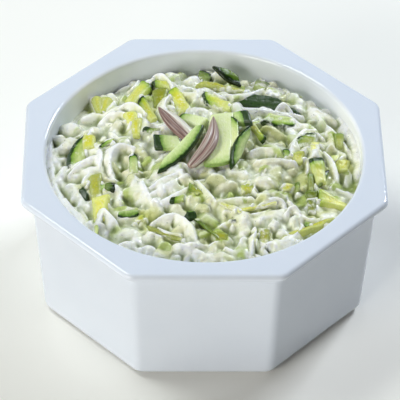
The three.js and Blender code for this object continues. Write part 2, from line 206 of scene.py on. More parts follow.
def dish_rings():
    """Rings from the middle of the underside over the outside and the rim into the hollow.
    Outside, a profile's half width sets an octagon; inside, its radius sets a circle. With
    them comes how far each point is painted whiter, as yoghurt film and as painted light in
    the hollow: 0 outside and on the rim, HOLLOW_FILM_AND_LIGHT under the lip, and up to 1
    there as a bell round each of the three spots."""
    rim = RIM_FLATS / 2
    collar = BODY_TOP_FLATS / 2 + COLLAR_STEP
    base = BODY_BASE_FLATS / 2
    cove_foot = RIM_TOP - 2 * RIM_EDGE_RADIUS - COVE_RADIUS
    soften = 0.5
    outside = np.concatenate([
        [[20, FOOT_RECESS], [FOOT_INNER - FOOT_RECESS - 0.6, FOOT_RECESS]],
        arc(FOOT_INNER + soften, soften, soften, 135, 270, 4),
        [[(FOOT_INNER + FOOT_OUTER) / 2, 0], [FOOT_OUTER, 0]],
        arc(base - BASE_ROUND, BASE_ROUND, BASE_ROUND, -90, 0, 10),
        [[base + 0.06 * k, BASE_ROUND + k] for k in (1.2, 4)],
        [[BODY_TOP_FLATS / 2 - 0.5, cove_foot - 12], [BODY_TOP_FLATS / 2, cove_foot - 2.6]],
        [[BODY_TOP_FLATS / 2 + 0.06, cove_foot - 2.1], [collar - 0.06, cove_foot - 1.7]],
        [[collar, cove_foot - 1.2]],
        arc(collar + COVE_RADIUS, cove_foot, COVE_RADIUS, 180, 90, 8),
        arc(rim - RIM_EDGE_RADIUS, RIM_TOP - RIM_EDGE_RADIUS, RIM_EDGE_RADIUS, -90, 90, 12)[1:],
        [[rim - RIM_EDGE_RADIUS - 0.6, RIM_TOP]],
    ])
    inside = np.concatenate([
        [[MOUTH_RADIUS + 1.2, RIM_TOP]],
        arc(MOUTH_RADIUS, RIM_TOP - LIP_RADIUS, LIP_RADIUS, 90, 180, 8),
        [[MOUTH_RADIUS - LIP_RADIUS - 0.04, RIM_TOP - LIP_RADIUS - 0.8]],
        arc(WALL_FOOT_RADIUS - HOLLOW_ROUND, FLOOR_LEVEL + HOLLOW_ROUND, HOLLOW_ROUND, 0, -90, 8),
        [[30, FLOOR_LEVEL]],
    ])
    heading = octagon_outline(rim)
    heading /= np.linalg.norm(heading, axis=1, keepdims=True)
    rings = [np.c_[octagon_outline(half), np.full(len(heading), height)] for half, height in outside]
    rings += [np.c_[radius * heading, np.full(len(heading), height)] for radius, height in inside]
    rings = np.array(rings)
    # how far the inside is whitened, as yoghurt film and as painted light
    film_and_light = np.full(rings.shape[:2], HOLLOW_FILM_AND_LIGHT)
    for x, y, radius in FILM_AND_LIGHT_SPOTS:
        away = np.hypot(rings[..., 0] - x, rings[..., 1] - y)
        film_and_light = np.maximum(film_and_light, np.exp(-(away / radius) ** 2))
    radius = np.hypot(rings[len(outside):, :, 0], rings[len(outside):, :, 1])
    film_and_light[:len(outside)] = 0
    film_and_light[len(outside):] *= np.clip((MOUTH_RADIUS - 0.3 - radius) / LIP_RADIUS, 0, 1) ** 0.5
    return rings, film_and_light


def porcelain_material():
    """Glazed porcelain: a clear glass-like glaze of IOR 1.5 over a dense white body, smooth
    to 0.1, with the slow swells of a glaze that ran a little before it set."""
    material = blank_material("porcelain_white_glaze")
    film_and_light = add(material, "ShaderNodeAttribute", {"attribute_name": "film_and_light"})
    place = add(material, "ShaderNodeTexCoord")
    swell = add(material, "ShaderNodeTexNoise", inputs={
        "Vector": place.outputs["Object"], "Scale": 1 / (GLAZE_RIPPLE * MM), "Detail": 1.0})
    bump = add(material, "ShaderNodeBump", inputs={
        "Height": swell.outputs["Fac"], "Strength": 0.25, "Distance": 0.0004})
    tone = add(material, "ShaderNodeMix", {"data_type": "RGBA"}, {
        0: swell.outputs["Fac"], 6: paint(PORCELAIN), 7: paint(PORCELAIN_SHADE)})
    # whitens the wall inside, as yoghurt film and as painted light in the hollow
    film_and_light_mix = add(material, "ShaderNodeMix", {"data_type": "RGBA"}, {
        0: film_and_light.outputs["Fac"], 6: tone.outputs[2], 7: paint(FILM_AND_LIGHT_WHITE)})
    body = add(material, "ShaderNodeBsdfPrincipled", inputs={
        "Base Color": film_and_light_mix.outputs[2], "Roughness": 0.1, "IOR": 1.5,
        "Subsurface Weight": 0.08, "Subsurface Radius": (1.0, 0.95, 0.9), "Subsurface Scale": 0.001,
        "Normal": bump.outputs["Normal"]})
    add(material, "ShaderNodeOutputMaterial", inputs={"Surface": body.outputs[0]})
    return material


rings, film_and_light = (values[None] for values in dish_rings())
dish = mesh_piece("porcelain_dish", close_rings(rings), shell_faces(*rings.shape[:3]), porcelain_material(),
                  shares={"film_and_light": close_rings(film_and_light[..., None])[:, 0]})
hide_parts("dish")

# ---------------------------------------------------------------------------- dip
# Strained yoghurt with grated and diced cucumber stirred through it, spooned into
# the dish and left heaped. Each buried piece stands up under its coat, and the spoon
# has left folds and crests. Its colour carries painted shade in the low parts and
# gaps, where thin green liquid also gathers, and a painted highlight on the crests.
HEAP_REACH = 78.9  # just into the wall, so that no gap shows
HEAP_RADIUS = 78.4
HEAP_CROWN = RIM_TOP - 1.5
HEAP_EDGE = RIM_TOP - 11.5
HEAP_EDGE_TILT = 2.0
HEAP_POWER = 2.6
GRID_POINTS = 300  # along each side of the grid, about half a millimetre apart
GOLDEN_ANGLE = math.pi * (3 - math.sqrt(5))
VIEW_SIZE = 400  # steps across and down in the camera's view, which places are counted in
LATTICE = 97  # random values along each side of a noise, which then repeats
LARGE_PIECES = 96
SMALL_PIECES = 230
LOOSE_FOLDS = 130
SHREDS = 170
LIPS_EACH = 2
BED_DEPTH = 1.3  # mm from a piece's upper face down to the bed it lies in
CREAM = "#fffef3"
# painted highlight: crests are whitened towards this, as thicker cream and as the light they catch
CREST_HIGHLIGHT_CREAM = "#fffffb"
WATERY_CREAM = "#d3dac6"
# painted shade: the heap is darkened towards this where it lies lower than its broad surroundings
SHADED_CREAM = "#c3cc9c"
JUICY_CREAM = "#dde37c"  # where the juice and seeds of ripe pieces run into it
# the narrow gaps are coloured towards this, as thin green liquid and as painted shade
WHEY_AND_SHADE = "#8f9b66"  # thin liquid in the gaps
# painted shade for the deepest gaps
DEEP_GAP_SHADE = "#333f26"
SPECK = "#6f7f4c"
BURIED_TINTS = ["#e2e8b4", "#ced99a", "#bccb7c", "#e6e488", "#e6e4c8", "#aabd68", "#dadcac"]


def fraction(value):
    """Fractional part of a number: an even spread of shares from 0 to 1."""
    return value - np.floor(value)


def smooth_step(value):
    """0 below 0, 1 above 1, and 3v^2 - 2v^3 between."""
    value = np.clip(value, 0, 1)
    return value * value * (3 - 2 * value)


def smooth_max(first, second, width):
    """The higher of two heights, rounded into one another over `width` mm: the blend of the
    two by share h, plus width times h(1 - h)."""
    share = np.clip(0.5 + 0.5 * (first - second) / width, 0, 1)
    return second + (first - second) * share + width * share * (1 - share)


def cloud(x, y, size, seed):
    """Noise from -1 to 1 with lumps of about `size` mm: random values on a square lattice,
    blended from one to the next by smooth steps."""
    lattice = np.random.default_rng(seed).uniform(-1, 1, (LATTICE, LATTICE))
    u = x / size + 40.3
    v = y / size + 40.7
    column = np.floor(u).astype(int)
    row = np.floor(v).astype(int)
    across = smooth_step(u - column)
    up = smooth_step(v - row)
    corner = [lattice[(row + j) % LATTICE, (column + i) % LATTICE] for j in (0, 1) for i in (0, 1)]
    low = corner[0] + (corner[1] - corner[0]) * across
    high = corner[2] + (corner[3] - corner[2]) * across
    return low + (high - low) * up


def blur(values, passes):
    """Values on a grid, each blended with its neighbours by 1:2:1 along both axes, again
    for each pass."""
    for _ in range(passes):
        for axis in (0, 1):
            pad = [(1, 1) if axis == k else (0, 0) for k in range(2)]
            wide = np.pad(values, pad, mode="edge")
            before, after = (wide[:-2], wide[2:]) if axis == 0 else (wide[:, :-2], wide[:, 2:])
            values = 0.5 * values + 0.25 * (before + after)
    return values


def heap_level(x, y):
    """Mean level of the heap: a mound with a flat crown, whose edge stands a little higher
    in front, with the broad swells of the spoon."""
    share = np.minimum(np.hypot(x, y) / HEAP_RADIUS, 1)
    edge = HEAP_EDGE - HEAP_EDGE_TILT * y / HEAP_RADIUS
    mound = edge + (HEAP_CROWN - edge) * (1 - share ** HEAP_POWER)
    swell = 0.9 * np.sin(x / 7.3 + 1.1) * np.sin(y / 6.1 + 0.6) + 0.8 * np.sin((x - 0.8 * y) / 8.7 + 2.3)
    return mound + swell * (1 - share ** 4)


def sighted(x, y, height):
    """Points in mm where the lines of sight through places in the view reach a height. A line
    starts at the camera. It runs across and down by the place's steps from the middle of the
    view, and ahead by the view's size times the focal length over the sensor's width."""
    ahead = np.full(np.shape(x), -VIEW_SIZE * FOCAL_LENGTH / SENSOR_WIDTH)
    ray = np.stack([x - VIEW_SIZE / 2, VIEW_SIZE / 2 - y, ahead], axis=-1) @ np.array(facing).T
    start = np.array(CAMERA_AT) / MM
    return start + ray * ((height - start[2]) / ray[..., 2])[..., None]


def over_rim(x, y, above):
    """Points in mm, z from the rim, that lines of sight reach `above` mm over the rim."""
    return sighted(x, y, RIM_TOP + above) - [0, 0, RIM_TOP]


def on_heap(x, y, above):
    """Points in mm, z from the rim, that lines of sight reach `above` mm over the heap's mean
    level: the height goes half of the way to it, again and again, until it stays."""
    height = np.full(np.shape(x), HEAP_CROWN)
    for _ in range(60):
        spot = sighted(x, y, height)
        height = (height + heap_level(spot[..., 0], spot[..., 1]) + above) / 2
    return sighted(x, y, height) - [0, 0, RIM_TOP]


def laid(table, count, carrier):
    """Rows in mm from a table by name. The first `count` entries of its rows are places as
    (x, y, above), which `carrier` turns into points; the other entries stay."""
    places = np.array([row[:count] for row in table.values()], float)
    sizes = np.array([row[count:] for row in table.values()], float)
    points = carrier(places[..., 0], places[..., 1], places[..., 2])
    return np.concatenate([points.reshape(len(points), -1), sizes], axis=1)


def disc_grid(points, reach):
    """A square grid bent into a disc without crowding: a point's larger coordinate becomes
    its radius, and the ratio of the two its angle."""
    side = np.linspace(-1, 1, points)
    a, b = np.meshgrid(side, side)
    wide = np.abs(a) > np.abs(b)
    radius = np.where(wide, a, b)
    safe = np.where(radius == 0, 1, radius)
    angle = np.where(wide, math.pi / 4 * b / safe, math.pi / 2 - math.pi / 4 * a / safe)
    return reach * radius * np.cos(angle), reach * radius * np.sin(angle)


def buried_pieces():
    """The cucumber under the yoghurt, as rows of x, y, heading, length, width, thickness,
    bow and lift. The larger ones are those of the heap's solid; smaller ones lie between."""
    i = np.arange(LARGE_PIECES)
    angle = i * GOLDEN_ANGLE
    radius = (HEAP_RADIUS - 5) * np.sqrt((i + 0.5) / LARGE_PIECES)
    large = np.stack([
        radius * np.cos(angle),
        radius * np.sin(angle),
        angle + math.pi / 2 + 1.9 * (fraction(i * 0.754877) - 0.5),
        9 + 8 * fraction(i * 0.569840),
        4.6 + 3.0 * fraction(i * 0.381966),
        4 + 1.6 * fraction(i * 0.236068),
        1.6 * (fraction(i * 0.472136) - 0.3),
        -1.4 + 1.9 * fraction(i * 0.618034),
    ], axis=-1)
    draw = np.random.default_rng(11)
    count = SMALL_PIECES
    j = np.arange(count)
    angle = j * GOLDEN_ANGLE + 1.3
    radius = (HEAP_RADIUS - 1.5) * np.sqrt((j + 0.5) / count)
    small = np.stack([
        radius * np.cos(angle) + draw.normal(0, 1.8, count),
        radius * np.sin(angle) + draw.normal(0, 1.8, count),
        angle + math.pi / 2 + draw.normal(0, 0.9, count),
        draw.uniform(4, 9, count),
        draw.uniform(2.8, 5.6, count),
        draw.uniform(2.6, 4.2, count),
        draw.uniform(-0.8, 0.8, count),
        draw.uniform(-2.8, 0.6, count),
    ], axis=-1)
    return np.concatenate([large, small])


# Lumps that show clearly: the two ends of the top, each as x and y in the view and mm over
# the heap's mean level, and the width in mm
CLEAR_LUMPS = {
    "ball": ((206, 176, 3.2), (225, 177, 3.2), 7.5),
    "slab one": ((62, 126, 3), (80, 128, 3), 6),
    "slab two": ((53, 139, 2), (74, 141, 2), 5),
    "slab three": ((50, 150, 1.5), (56, 168, 1.5), 7),
    "wall lump one": ((293, 92, 3), (300, 103, 3), 6),
    "wall lump two": ((311, 100, 3), (318, 116, 3), 6.5),
    "wall lump three": ((322, 115, 3), (336, 121, 2.5), 6),
    "wall lump four": ((330, 130, 3), (341, 145, 2.5), 5),
    "olive lump": ((113, 150, 0.5), (110, 160, 0.5), 4),
    "pale blob": ((131, 174, 3), (134, 186, 3), 6),
    "pearl one": ((158, 243, 2.5), (172, 246, 2), 6.5),
    "pearl two": ((175, 249, 2), (183, 243, 2.5), 5),
    "right lump one": ((257, 193, 3), (268, 196, 3), 6),
    "right lump two": ((268, 190, 3), (278, 194, 3), 6),
    "pale right": ((263, 160, 2.5), (284, 160, 2.5), 6),
    "pale mid": ((256, 178, 2.2), (276, 180, 2.2), 6.5),
    "tan lump": ((292, 220, 3), (299, 216, 3), 5),
    "low lump one": ((200, 254, 1), (212, 256, 1), 6),
    "low lump two": ((222, 256, 1), (236, 257, 1), 6),
    "top wall one": ((168, 80, 2), (180, 76, 2), 5),
    "top wall two": ((258, 78, 2.5), (276, 84, 2.5), 5),
}


def clear_pieces():
    """The clear lumps, as rows like those of the buried pieces."""
    ends = laid(CLEAR_LUMPS, 2, on_heap)
    start, end, width = ends[:, :3], ends[:, 3:6], ends[:, 6]
    middle = (start + end) / 2
    run = end - start
    thick = 0.8 * width
    top = RIM_TOP + np.maximum(start[:, 2], end[:, 2])
    lift = top - heap_level(middle[:, 0], middle[:, 1]) - thick / 2
    length = np.hypot(run[:, 0], run[:, 1]) + 0.35 * width
    still = np.zeros(len(ends))
    return np.stack([middle[:, 0], middle[:, 1], np.arctan2(run[:, 1], run[:, 0]), length, width, thick,
                     still, lift], axis=-1)


def lay_buried(x, y, pieces):
    """Height of the buried pieces and which one is on top. A piece is a flat-topped dome on
    a bowed bar: with e the sum of the 3.4th powers of its two shares, it drops by its
    thickness times 1 - sqrt(1 - e)."""
    top = np.full(x.shape, -50.0)
    x = x + 0.5 * cloud(x, y, 2.4, 61)
    y = y + 0.5 * cloud(x, y, 2.4, 62)
    owner = np.zeros(x.shape, int)
    draw = np.random.default_rng(5)
    for number, (px, py, turn, length, width, thick, bow, lift) in enumerate(pieces):
        reach = length / 2 + 1
        near = (np.abs(x - px) < reach) & (np.abs(y - py) < reach)
        dx = x[near] - px
        dy = y[near] - py
        along = (dx * math.cos(turn) + dy * math.sin(turn)) / (length / 2)
        across = dy * math.cos(turn) - dx * math.sin(turn) - bow * along ** 2
        e = np.abs(along) ** 3.4 + np.abs(across / (width / 2)) ** 3.4
        level = heap_level(px + 0.6 * dx, py + 0.6 * dy) + lift + thick / 2
        level = level + draw.normal(0, 0.8) * along + draw.normal(0, 0.6) * across / width
        height = np.where(e < 1, level - thick * (1 - np.sqrt(np.clip(1 - e, 0, 1))), -50)
        wins = height > top[near]
        spot = np.flatnonzero(near.ravel())[wins]
        top.ravel()[spot] = height[wins]
        owner.ravel()[spot] = number
    return top, owner


def lay_shreds(x, y, ground, count):
    """Adds thin shreds of grated cucumber to the ground, all under yoghurt: bars whose sides
    fall as a quarter ellipse, bowed, half sunk in."""
    draw = np.random.default_rng(71)
    angle = np.arange(count) * GOLDEN_ANGLE + 2.1
    radius = (HEAP_RADIUS - 1) * np.sqrt((np.arange(count) + 0.5) / count)
    spread = draw.normal(0, 2, (count, 2))
    turns = angle + math.pi / 2 + draw.normal(0, 0.9, count)
    top = ground.copy()
    for number in range(count):
        px = radius[number] * math.cos(angle[number]) + spread[number, 0]
        py = radius[number] * math.sin(angle[number]) + spread[number, 1]
        turn = turns[number]
        length = draw.uniform(2.5, 8)
        width = draw.uniform(1.2, 2.4)
        bow = draw.uniform(-1.4, 1.4)
        rise = draw.uniform(0.3, 1.1)
        reach = length / 2 + 2
        near = (np.abs(x - px) < reach) & (np.abs(y - py) < reach)
        dx = x[near] - px
        dy = y[near] - py
        along = (dx * math.cos(turn) + dy * math.sin(turn)) / (length / 2)
        across = dy * math.cos(turn) - dx * math.sin(turn) - bow * along ** 2
        e = np.abs(along) ** 3 + np.abs(across / (width / 2)) ** 2.4
        lifted = ground[near] + rise - 1.3 * (1 - np.sqrt(np.clip(1 - e, 0, 1)))
        top[near] = np.maximum(top[near], np.where(e < 1, lifted, -50))
    return top


# Folds of yoghurt: the start, middle and end of the crest, each as x and y in the view and
# mm over the heap's mean level, and half the width in mm
FOLDS = {
    "worm": ((134, 146, 3), (114, 147, 4), (112, 171, 3), 2.99),
    "leaf left": ((70, 172, 2.5), (83, 160, 3.5), (97, 155, 3), 2.99),
    "blob left": ((83, 181, 2), (86, 175, 2.5), (90, 171, 2), 2.99),
    "fold by worm": ((100, 149, 3), (101, 157, 3.5), (100, 169, 2.5), 2.53),
    "cone left": ((104, 209, 3.5), (99, 221, 2.5), (96, 233, 1), 2.99),
    "cone right": ((104, 209, 3.5), (113, 217, 3), (121, 229, 1.5), 2.76),
    "claw": ((173, 212, 3), (189, 221, 3.5), (197, 241, 1.5), 3.22),
    "claw back": ((152, 222, 2), (165, 214, 3), (176, 213, 3), 2.76),
    "claw foot": ((197, 241, 1.5), (193, 248, 1), (186, 254, 0.5), 2.53),
    "peak middle": ((143, 180, 4), (147, 190, 3), (153, 201, 2), 2.99),
    "crest low": ((255, 226, 3.5), (254, 240, 3), (250, 256, 1), 1.38),
    "crest cup": ((226, 246, 1), (238, 251, 1.5), (250, 251, 1.2), 1.61),
    "front lump one": ((118, 245, 1.5), (129, 241, 2.5), (141, 247, 1.5), 3.68),
    "front lump two": ((141, 247, 1.5), (151, 246, 2.5), (158, 257, 0.5), 3.45),
    "front lump three": ((187, 254, 0.5), (196, 249, 2), (207, 255, 0.5), 3.91),
    "slope edge": ((264, 249, 1), (272, 241, 2.2), (312, 239, 1.5), 2.3),
    "cone right top": ((287, 211, 4), (295, 205, 5), (302, 222, 2), 2.07),
    "cone right foot": ((283, 228, 1.5), (293, 234, 2), (303, 224, 2), 2.07),
    "back ridge": ((222, 94, 2.5), (244, 93, 3.5), (262, 88, 3), 1.725),
    "lens lip": ((240, 107, 2), (264, 109, 3), (303, 115, 2), 1.725),
    "cream peak": ((275, 110, 3), (282, 102, 5.5), (290, 109, 3), 1.38),
    "arc over chunk": ((292, 143, 2), (305, 129, 3.5), (323, 137, 2.5), 1.495),
    "arc by stick": ((325, 151, 2.5), (334, 162, 3), (338, 178, 1.5), 1.38),
    "wall arc": ((326, 124, 2), (340, 137, 3), (353, 158, 1.5), 2.3),
    "thin crest": ((198, 180, 3), (208, 190, 3), (217, 201, 2), 1.265),
    "upper left mass": ((103, 119, 2.5), (112, 112, 4), (124, 112, 3.5), 3.91),
    "upper left arc": ((120, 107, 4), (132, 102, 5), (145, 112, 3), 2.53),
    "white blob": ((170, 94, 5), (165, 101, 4.5), (167, 109, 3), 2.3),
    "film arch": ((149, 82, 4), (160, 73, 6.5), (172, 84, 4), 1.495),
    "centre roll": ((222, 200, 2), (236, 197, 2.5), (252, 196, 2), 2.53),
    "right roll": ((258, 205, 2), (272, 197, 3), (284, 201, 2), 2.3),
    "right top roll": ((250, 151, 2.5), (263, 147, 3), (278, 149, 2.5), 2.3),
    "mid roll": ((257, 160, 2), (270, 158, 3), (294, 160, 2.5), 2.76),
    "below ribbon": ((245, 213, 0.2), (257, 212.5, 0.8), (270, 208.5, 0.2), 1.7),
    "front left lobe": ((79, 205, 0.4), (83, 212, 0.8), (89, 221, 0.2), 2.2),
    "below middle slice": ((213, 171.5, 0.2), (222, 170, 0.7), (231, 167.5, 0.2), 1.5),
    "front left bank": ((71, 203, 1.4), (79, 213, 1.7), (91, 224, 1), 2.8),
}
# Folds whose points are in mm: x, y and z from the rim of the start, middle and end of the
# crest, and half the width
MEASURED_FOLDS = {
    "mound one": (-27.8, -31.4, -0.9, -19, -25.2, 0.7, -8.6, -17.7, 1.2, 4.8),
    "mound two": (-24.9, -36, -2.4, -16.1, -30.8, -1.1, -6.2, -23.9, -0.6, 3.4),
    "mound three": (-26.8, -26.9, 0.2, -21, -21.9, 1.4, -14, -17.2, 1.5, 3.8),
    "left slope": (-74.6, -10.7, -7.4, -71.2, -24.7, -6.4, -64, -37.8, -7.2, 4.6),
    "left slope low": (-68.2, -27.5, -6.8, -61, -40.9, -6.5, -55, -48.2, -7.2, 3.68),
    "left bank": (-77, 20, -8.4, -77, 5, -7, -74.5, -12, -6.4, 5.2),
    "right bank": (71, 36, -8, 77.6, 16, -6.8, 78.6, -2, -8.5, 5.2),
}


def loose_folds(count):
    """Rows like MEASURED_FOLDS for the rest of the heap: short bent crests, mostly along the turn of
    the spoon."""
    draw = np.random.default_rng(31)
    angle = np.arange(count) * GOLDEN_ANGLE + 0.4
    radius = (HEAP_RADIUS - 4) * np.sqrt((np.arange(count) + 0.5) / count)
    x = radius * np.cos(angle)
    y = radius * np.sin(angle)
    heading = angle + math.pi / 2 + draw.normal(0, 0.8, count)
    half = draw.uniform(2.5, 7, count)
    bend = draw.uniform(-2.5, 2.5, count)
    lift = draw.uniform(-1.2, 1.6, count)
    run = np.stack([np.cos(heading), np.sin(heading)], axis=-1)
    side = np.stack([-run[:, 1], run[:, 0]], axis=-1)
    middle = np.stack([x, y], axis=-1)
    rows = []
    for place, up in ((middle - run * half[:, None], -1.2), (middle + side * bend[:, None], 0.0),
                      (middle + run * half[:, None], -1.2)):
        rows.append(place)
        rows.append((heap_level(place[:, 0], place[:, 1]) + lift + up - RIM_TOP)[:, None])
    return np.concatenate([*rows, draw.uniform(0.8, 2.2, count)[:, None]], axis=1)


def lay_folds(x, y, folds):
    """Height of the folds. A fold runs along a parabola through its three points. Across it
    the height falls from the crest's by the 1.7th power of the share of half its width,
    which swells and narrows with a noise and is less on the side that the fold leans to."""
    top = np.full(x.shape, -50.0)
    t = np.linspace(0, 1, 33)[:, None]
    swell = 1 + 0.3 * cloud(x, y, 4.5, 33)
    for fold in np.asarray(folds, float):
        start, middle, end, half = fold[:3], fold[3:6], fold[6:9], fold[9]
        control = 2 * middle - (start + end) / 2
        crest = start * (1 - t) ** 2 + control * 2 * t * (1 - t) + end * t ** 2
        low = crest[:, :2].min(axis=0) - 2.5 * half
        high = crest[:, :2].max(axis=0) + 2.5 * half
        near = (x > low[0]) & (x < high[0]) & (y > low[1]) & (y < high[1])
        dx = x[near][:, None] - crest[:, 0]
        dy = y[near][:, None] - crest[:, 1]
        gap = np.hypot(dx, dy)
        closest = gap.argmin(axis=1)
        each = np.arange(len(closest))
        run = (end - start)[:2] / np.linalg.norm((end - start)[:2])
        lean = (dx[each, closest] * run[1] - dy[each, closest] * run[0]) / np.maximum(gap[each, closest], 0.1)
        taper = 0.6 + 0.4 * np.sin(np.pi * np.clip(t[closest, 0], 0.08, 0.92))
        share = gap[each, closest] / (half * taper * swell[near] * (1.0 + 0.4 * lean))
        fall = 0.95 * half * share ** 1.7
        height = np.where(share < 2.2, RIM_TOP + crest[closest, 2] - fall, -50)
        top[near] = np.maximum(top[near], height)
    return top


# Where the spoon left bare cream, hollows where the pieces lie wet and thinly coated and
# the lowered heap gets painted shade, and small pits, coloured dark by the gaps' liquid and
# painted shade, by part of the heap: x and y in the view, and radius in mm
BARE_CREAM = {
    "left": [(52, 150, 6), (53, 168, 7), (58, 188, 7), (66, 206, 6), (74, 222, 5), (120, 255, 5),
        (95, 165, 5), (62, 170, 5), (115, 222, 5), (110, 115, 5), (80, 207, 5), (88, 124, 4),
        (63, 159, 4), (81, 206, 4), (103, 227, 3.5), (85, 214, 4), (112, 192.5, 3)],
    "behind": [(318, 112, 4), (112, 112, 5), (128, 107, 5), (205, 95, 5), (245, 108, 5), (268, 108, 4),
        (300, 90, 5), (312, 92, 5), (330, 110, 6), (261, 114, 3.5), (174, 105, 4), (84, 111, 3),
        (261, 113, 3.5)],
    "middle": [(168, 187, 9), (150, 200, 6), (222, 118, 5), (240, 170, 5), (222, 169, 4),
        (159, 149, 3.5), (191, 202, 3), (172, 167, 3.5), (275, 147, 4), (222, 171, 3)],
    "right": [(288, 248, 6), (302, 242, 5), (349, 150, 4), (343, 130, 5), (319, 140, 3), (286, 223, 3)],
    "in front": [(272, 252, 6), (182, 250, 4), (235, 210, 6), (262, 222, 4), (155, 262, 5),
        (130, 228, 6), (256, 213, 4), (138, 242, 4), (256, 212, 3.5), (161, 239, 3.5)],
}
HOLLOWS = {
    "left": [(97, 185, 5), (116, 231, 4), (119, 209, 3), (70, 126, 4), (123.5, 185, 3)],
    "behind": [(235, 88, 7), (215, 88, 5), (258, 90, 5), (105, 108, 4), (160, 90, 5), (150, 112, 5),
        (289, 103, 5), (290.5, 105, 4), (238, 81, 3.5), (312, 110, 4)],
    "middle": [(135, 165, 6), (150, 168, 6), (190, 190, 6), (212, 190, 7), (232, 190, 5),
        (247, 203, 4), (262, 150, 6), (180, 160, 5), (146, 174, 4), (125, 167.5, 4), (240, 168, 4),
        (233, 201, 4), (131, 205, 3), (181, 186, 4), (199, 181, 4), (258, 164, 4), (148, 174.5, 4),
        (236, 178, 3.5), (233, 203.5, 4), (133, 198, 4), (131, 164, 3.5), (141, 160.5, 3.5)],
    "right": [(303, 183, 8), (318, 178, 6), (332, 196, 5), (347, 178, 6), (283, 138, 6), (329, 175, 4),
        (301, 198.5, 3), (327.5, 177.5, 4.5), (313, 195, 4.5)],
    "in front": [(207, 226, 7), (196, 216, 5), (150, 218, 6), (262, 232, 4), (176, 209, 4),
        (230, 218, 4), (175.5, 240, 4), (178, 212, 4), (165, 251, 4)],
}
PITS = {
    "left": [(115, 230, 2), (104, 150, 1.4), (120, 175, 1.6), (76, 205, 1.4), (91, 233, 1.5),
        (69, 128, 1.5), (68, 141, 1.5)],
    "behind": [(155, 92, 1.4), (290, 105, 1.8)],
    "middle": [(166, 158, 2.2), (238, 140, 2.2), (240, 133, 1.6), (182, 184, 1.6), (262, 160, 1.6),
        (180, 118, 1.4), (126, 165, 1.8), (139.5, 160.5, 1.7), (147, 173, 1.8)],
    "right": [(281, 129, 2.2), (298, 181, 1.8), (286, 205, 1.6), (310, 218, 1.6), (322, 172, 1.6),
        (319.5, 183, 1.8)],
    "in front": [(189, 206, 1.6), (228, 214, 1.6), (205, 241, 1.8), (140, 226, 1.6), (137, 247, 1.5),
        (251, 233, 1.6)],
}


def laid_spots(table):
    """Rows of x, y and radius in mm for the spots of a table."""
    rows = np.array([spot for part in table.values() for spot in part], float)
    return np.c_[on_heap(rows[:, 0], rows[:, 1], 0)[:, :2], rows[:, 2]]


def spots(x, y, rows):
    """1 at the middle of each round spot, and exp(-d^2) at d times its radius."""
    share = np.zeros(x.shape)
    for px, py, radius in rows:
        share = np.maximum(share, np.exp(-((x - px) ** 2 + (y - py) ** 2) / radius ** 2))
    return share


